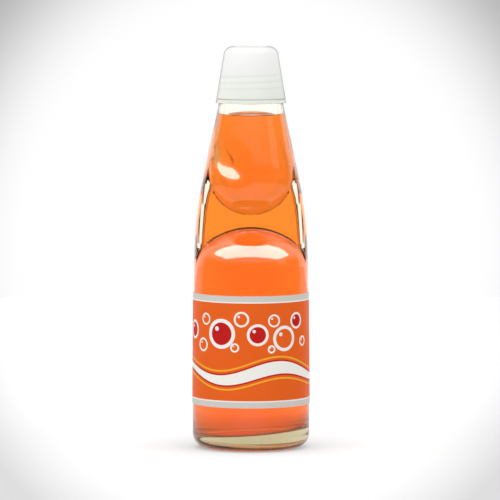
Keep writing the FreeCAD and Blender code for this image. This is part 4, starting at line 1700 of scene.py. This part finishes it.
@dataclass
class Studio:
    """Pale floor and backdrop, soft lights and the camera."""

    camera_spot: Place = (-0.0005, -2.55, 0.291)
    camera_aim: Place = (-0.0005, 0.0, 0.0995)
    lens: float = 366.0
    floor_size: float = 3.0
    backdrop_distance: float = 0.9
    ambient: float = 0.88
    flag_turn: tuple[float, float] = (1.0, 1.3)
    flag_top: tuple[float, float] = (0.25, 0.5)
    flag_tone: float = 0.03
    far_tone: float = 0.68
    horizon_tone: float = 0.735
    corner_tone: float = 0.46
    behind: float = 1.42
    dark_front: tuple[float, float] = (0.25, 0.4)
    floor_glow: float = 0.63
    # Reach, strength and fade of the painted contact shadow in the floor's glow.
    painted_contact_shadow_reach: float = 0.05
    painted_contact_shadow_depth: float = 0.6
    painted_contact_shadow_end: tuple[float, float] = (0.05, 0.1)
    back_shade: Colour = (1.0, 0.92, 0.78)
    back_reach: tuple[float, float] = (0.1, 0.2)
    lamps: tuple[Lamp, ...] = (
        Lamp("overhead_softbox", (0.0, -0.45, 1.1), (0.0, 0.0, 0.1), (2.0, 0.8), 2.0, LampUse.BOTH),
        Lamp("left_fill", (-1.6, -1.2, 0.5), (0.0, 0.0, 0.1), (0.8, 0.8), 6.0, LampUse.LIGHT),
        Lamp("side_card", (1.75, -0.75, 1.0), (0.0, 0.0, 0.1), (0.8, 1.2), 2.4, LampUse.BOTH),
        Lamp("tent_roof", (0.1, -0.45, 1.1), (0.1, -0.45, 0.0), (3.2, 1.3), 172.0, LampUse.CARD),
    )

    def build(self) -> None:
        """Build the studio.

        Floor and backdrop come first, then the surroundings, the lamps and the camera.
        """
        self._floor()
        self._backdrop()
        self._world()
        for lamp in self.lamps:
            lamp.hang()
        self._camera()

    def _plane(self, name: str, corners: Sequence[Place]) -> bpy.types.Object:
        """Make a flat stage piece.

        Args:
            name: Name of the piece.
            corners: Its four corners in order.

        Returns:
            The new piece.
        """
        mesh = bpy.data.meshes.new(name)
        mesh.from_pydata(list(corners), [], [(0, 1, 2, 3)])
        plane = bpy.data.objects.new(name, mesh)
        bpy.context.scene.collection.objects.link(plane)
        return plane

    def _floor(self) -> None:
        """Lay the pale floor.

        It glows so that it stays white, keeps a soft shadow, has a painted contact shadow in its glow,
        and is dark to mirrors in front.
        """
        half = self.floor_size / 2.0
        floor = self._plane(
            "floor", [(-half, -half, 0.0), (half, -half, 0.0), (half, half, 0.0), (-half, half, 0.0)]
        )
        sheet = self._paper(floor, "floor_paper")
        across, deep, _ = sheet.place()
        reach = sheet.math("ADD", sheet.math("MULTIPLY", deep, 0.03), 0.155)
        aside = sheet.square(sheet.math("DIVIDE", across, reach))
        near = sheet.math("DIVIDE", sheet.math("SUBTRACT", self.backdrop_distance, deep), 1.4)
        away = sheet.math("ADD", aside, sheet.math("MULTIPLY", sheet.square(near), 1.3))
        tone = self._painted_falloff(sheet, away, self.far_tone)
        far = sheet.hypot(across, deep)
        turn = sheet.math("ARCTAN2", sheet.math("ABSOLUTE", across), deep)
        path = sheet.add("ShaderNodeLightPath")
        bent, mirrored = path.outputs["Is Transmission Ray"], path.outputs["Is Reflection Ray"]
        close = sheet.ramp(far, *self.back_reach, 1.0, 0.0)
        paper = sheet.blend(close, (self.behind,) * 3, self.back_shade)
        tone = sheet.blend(bent, tone, paper)
        apart = sheet.ramp(far, *self.dark_front)
        front = sheet.math("MULTIPLY", apart, sheet.ramp(turn, *self.flag_turn))
        shade = sheet.blend(sheet.math("MULTIPLY", front, mirrored), tone, (self.flag_tone,) * 3)
        matte = sheet.add("ShaderNodeBsdfDiffuse", {"Color": self._times(sheet, shade, 0.45)})
        # Painted contact shadow: the glow dims where ambient occlusion finds the bottle close.
        room = {"Distance": self.painted_contact_shadow_reach}
        open_share = sheet.add("ShaderNodeAmbientOcclusion", room, samples=8).outputs["AO"]
        covered = sheet.math("SUBTRACT", 1.0, open_share)
        depth = sheet.ramp(far, *self.painted_contact_shadow_end, self.painted_contact_shadow_depth, 0.0)
        dimmed = sheet.math("SUBTRACT", 1.0, sheet.math("MULTIPLY", covered, depth))
        glow = sheet.math("MULTIPLY", dimmed, self.floor_glow)
        shine = sheet.add("ShaderNodeEmission", {"Color": shade, "Strength": glow})
        both = sheet.add("ShaderNodeAddShader", {0: matte.outputs[0], 1: shine.outputs[0]})
        self._join(sheet, both.outputs[0])

    @staticmethod
    def _paper(plane: bpy.types.Object, name: str) -> ShaderSheet:
        """Start an empty material on a stage piece.

        Args:
            plane: The stage piece.
            name: Name of the material.

        Returns:
            The material's sheet.
        """
        material = bpy.data.materials.new(name)
        material.use_nodes = True
        material.node_tree.nodes.clear()
        plane.data.materials.append(material)
        return ShaderSheet(material.node_tree)

    def _join(self, sheet: ShaderSheet, seen_shader: bpy.types.NodeSocket) -> None:
        """Show a shader to the eye and in glass, and plain white paper to the light on things.

        Args:
            sheet: The material's sheet.
            seen_shader: The shader that is seen.
        """
        plain = sheet.add("ShaderNodeBsdfDiffuse", {"Color": (0.8, 0.8, 0.8, 1.0)})
        shares = {0: self._seen(sheet), 1: plain.outputs[0], 2: seen_shader}
        mixed = sheet.add("ShaderNodeMixShader", shares)
        sheet.add("ShaderNodeOutputMaterial", {"Surface": mixed.outputs[0]})

    def _painted_falloff(self, sheet: ShaderSheet, away: Any, lowest: float) -> bpy.types.NodeSocket:
        """Painted falloff: paper tone that greys away from the middle of the set, down to a lowest tone.
        """
        tone = sheet.ramp(away, 0.7, 1.75, 1.0, self.corner_tone)
        return sheet.math("MAXIMUM", tone, lowest)

    @staticmethod
    def _times(sheet: ShaderSheet, colour: Any, share: float) -> bpy.types.NodeSocket:
        """A colour made darker by a share."""
        return sheet.blend(1.0 - share, colour, (0.0, 0.0, 0.0))

    @staticmethod
    def _seen(sheet: ShaderSheet) -> bpy.types.NodeSocket:
        """Mark the rays that come from the eye, a mirror or glass.

        Args:
            sheet: The material's sheet.

        Returns:
            1 for those rays, and 0 for the light that falls on things.
        """
        path = sheet.add("ShaderNodeLightPath")
        seen = sheet.math("ADD", path.outputs["Is Camera Ray"], path.outputs["Is Glossy Ray"])
        return sheet.math("ADD", seen, path.outputs["Is Transmission Ray"], clamp=True)

    def _backdrop(self) -> None:
        """Hang the white wall behind the bottle.

        It darkens towards its corners with painted falloff, and can't be seen from behind.
        """
        far = self.backdrop_distance
        wall = self._plane(
            "backdrop", [(-1.4, far, 0.0), (1.4, far, 0.0), (1.4, far, 1.6), (-1.4, far, 1.6)]
        )
        sheet = self._paper(wall, "backdrop_paper")
        across, _, up = sheet.place()
        aside = sheet.math("DIVIDE", across, 0.182)
        above = sheet.math("DIVIDE", sheet.math("SUBTRACT", up, 0.03), 0.2)
        away = sheet.math("ADD", sheet.square(aside), sheet.square(above))
        tone = self._painted_falloff(sheet, away, self.corner_tone)
        eye = sheet.add("ShaderNodeLightPath").outputs["Is Camera Ray"]
        tone = sheet.blend(eye, (self.behind,) * 3, tone)
        shine = sheet.add("ShaderNodeEmission", {"Color": tone, "Strength": 1.0})
        clear = sheet.add("ShaderNodeBsdfTransparent")
        rear = sheet.add("ShaderNodeNewGeometry").outputs["Backfacing"]
        sided = sheet.add("ShaderNodeMixShader", {0: rear, 1: shine.outputs[0], 2: clear.outputs[0]})
        self._join(sheet, sided.outputs[0])

    def _world(self) -> None:
        """Make the surroundings.

        They are pale to the eye, bright in glass and dark to mirrors low in front, and give even light.
        """
        world = bpy.data.worlds.new("studio_world")
        world.use_nodes = True
        world.node_tree.nodes.clear()
        sheet = ShaderSheet(world.node_tree)
        heading = sheet.add("ShaderNodeTexCoord").outputs["Generated"]
        parts = sheet.add("ShaderNodeSeparateXYZ", {0: heading})
        turn = sheet.math("ARCTAN2", sheet.math("ABSOLUTE", parts.outputs["X"]), parts.outputs["Y"])
        low = sheet.ramp(parts.outputs["Z"], *self.flag_top, 1.0, 0.0)
        flag = sheet.math("MULTIPLY", sheet.ramp(turn, *self.flag_turn), low)
        path = sheet.add("ShaderNodeLightPath")
        flag = sheet.math("MULTIPLY", flag, path.outputs["Is Reflection Ray"])
        tone = sheet.blend(flag, (self.behind,) * 3, (self.flag_tone,) * 3)
        tone = sheet.blend(path.outputs["Is Camera Ray"], tone, (self.horizon_tone,) * 3)
        bright = sheet.add("ShaderNodeBackground", {"Color": tone, "Strength": 1.0})
        even = {"Color": (1.0, 1.0, 1.0, 1.0), "Strength": self.ambient}
        soft = sheet.add("ShaderNodeBackground", even)
        mixed = sheet.add(
            "ShaderNodeMixShader", {0: self._seen(sheet), 1: soft.outputs[0], 2: bright.outputs[0]}
        )
        sheet.add("ShaderNodeOutputWorld", {"Surface": mixed.outputs[0]})
        bpy.context.scene.world = world

    def _camera(self) -> None:
        """Set the camera.

        It stands far away and a little above the bottle, so that upright lines stay upright.
        """
        camera = bpy.data.cameras.new("camera")
        camera.lens = self.lens
        camera.sensor_width = 36.0
        camera.clip_end = 50.0
        holder = bpy.data.objects.new("camera", camera)
        set_up(holder, self.camera_spot, self.camera_aim)
        bpy.context.scene.camera = holder


def main() -> None:
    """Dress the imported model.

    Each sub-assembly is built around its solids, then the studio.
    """
    logging.basicConfig(level=logging.INFO, format="%(name)s: %(message)s")
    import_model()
    bpy.context.scene.view_settings.view_transform = "Standard"
    effects = SharedEffects()
    form = BottleForm()

    girth = FULL_TURN * form.wall_radius(50.0)
    # Colour of the painted shade on the outlines of the plastic parts.
    outline = (0.3, 0.31, 0.3)
    milky = {"gloss": 0.02, "glow": 0.25, "painted_outline_shade": outline}
    satin = {"gloss": 0.1, "painted_outline_shade": outline}
    parts: list[SubAssembly] = [
        GlassBottle(form, GlassFinish("moulded_glass", seam_width=0.25)),
        DrinkFill(form, DrinkFinish("orange_soda")),
        LabelWrap(form, LabelFinish("printed_film", girth, 56.0)),
        GlassMarble(GlassFinish("ball_glass", tint=(0.5, 0.8, 0.85), tint_density=20.0)),
        MouthSeal(MouldedFinish("pale_rubber", (0.72, 0.72, 0.68), 0.55, 0.7, 600.0, 0.00003)),
        ScrewCap(
            CapFinish("cap_plastic_white", (0.9, 0.91, 0.885), **milky),
            # The band takes the colour of the cap's painted foot shade, a shaded copy of the cap's white
            # plastic.
            MouldedFinish("band_plastic_white", (0.81, 0.845, 0.765), **milky),
        ),
        PushPlunger(
            MouldedFinish("plunger_plastic_white", (0.8, 0.81, 0.78), 0.35, 0.5, **satin),
            MouldedFinish("collar_plastic_white", (0.79, 0.8, 0.77), 0.32, 0.46, **satin),
        ),
    ]
    for part in parts:
        part.add(effects)
    Studio().build()


if __name__ == "__main__":
    main()
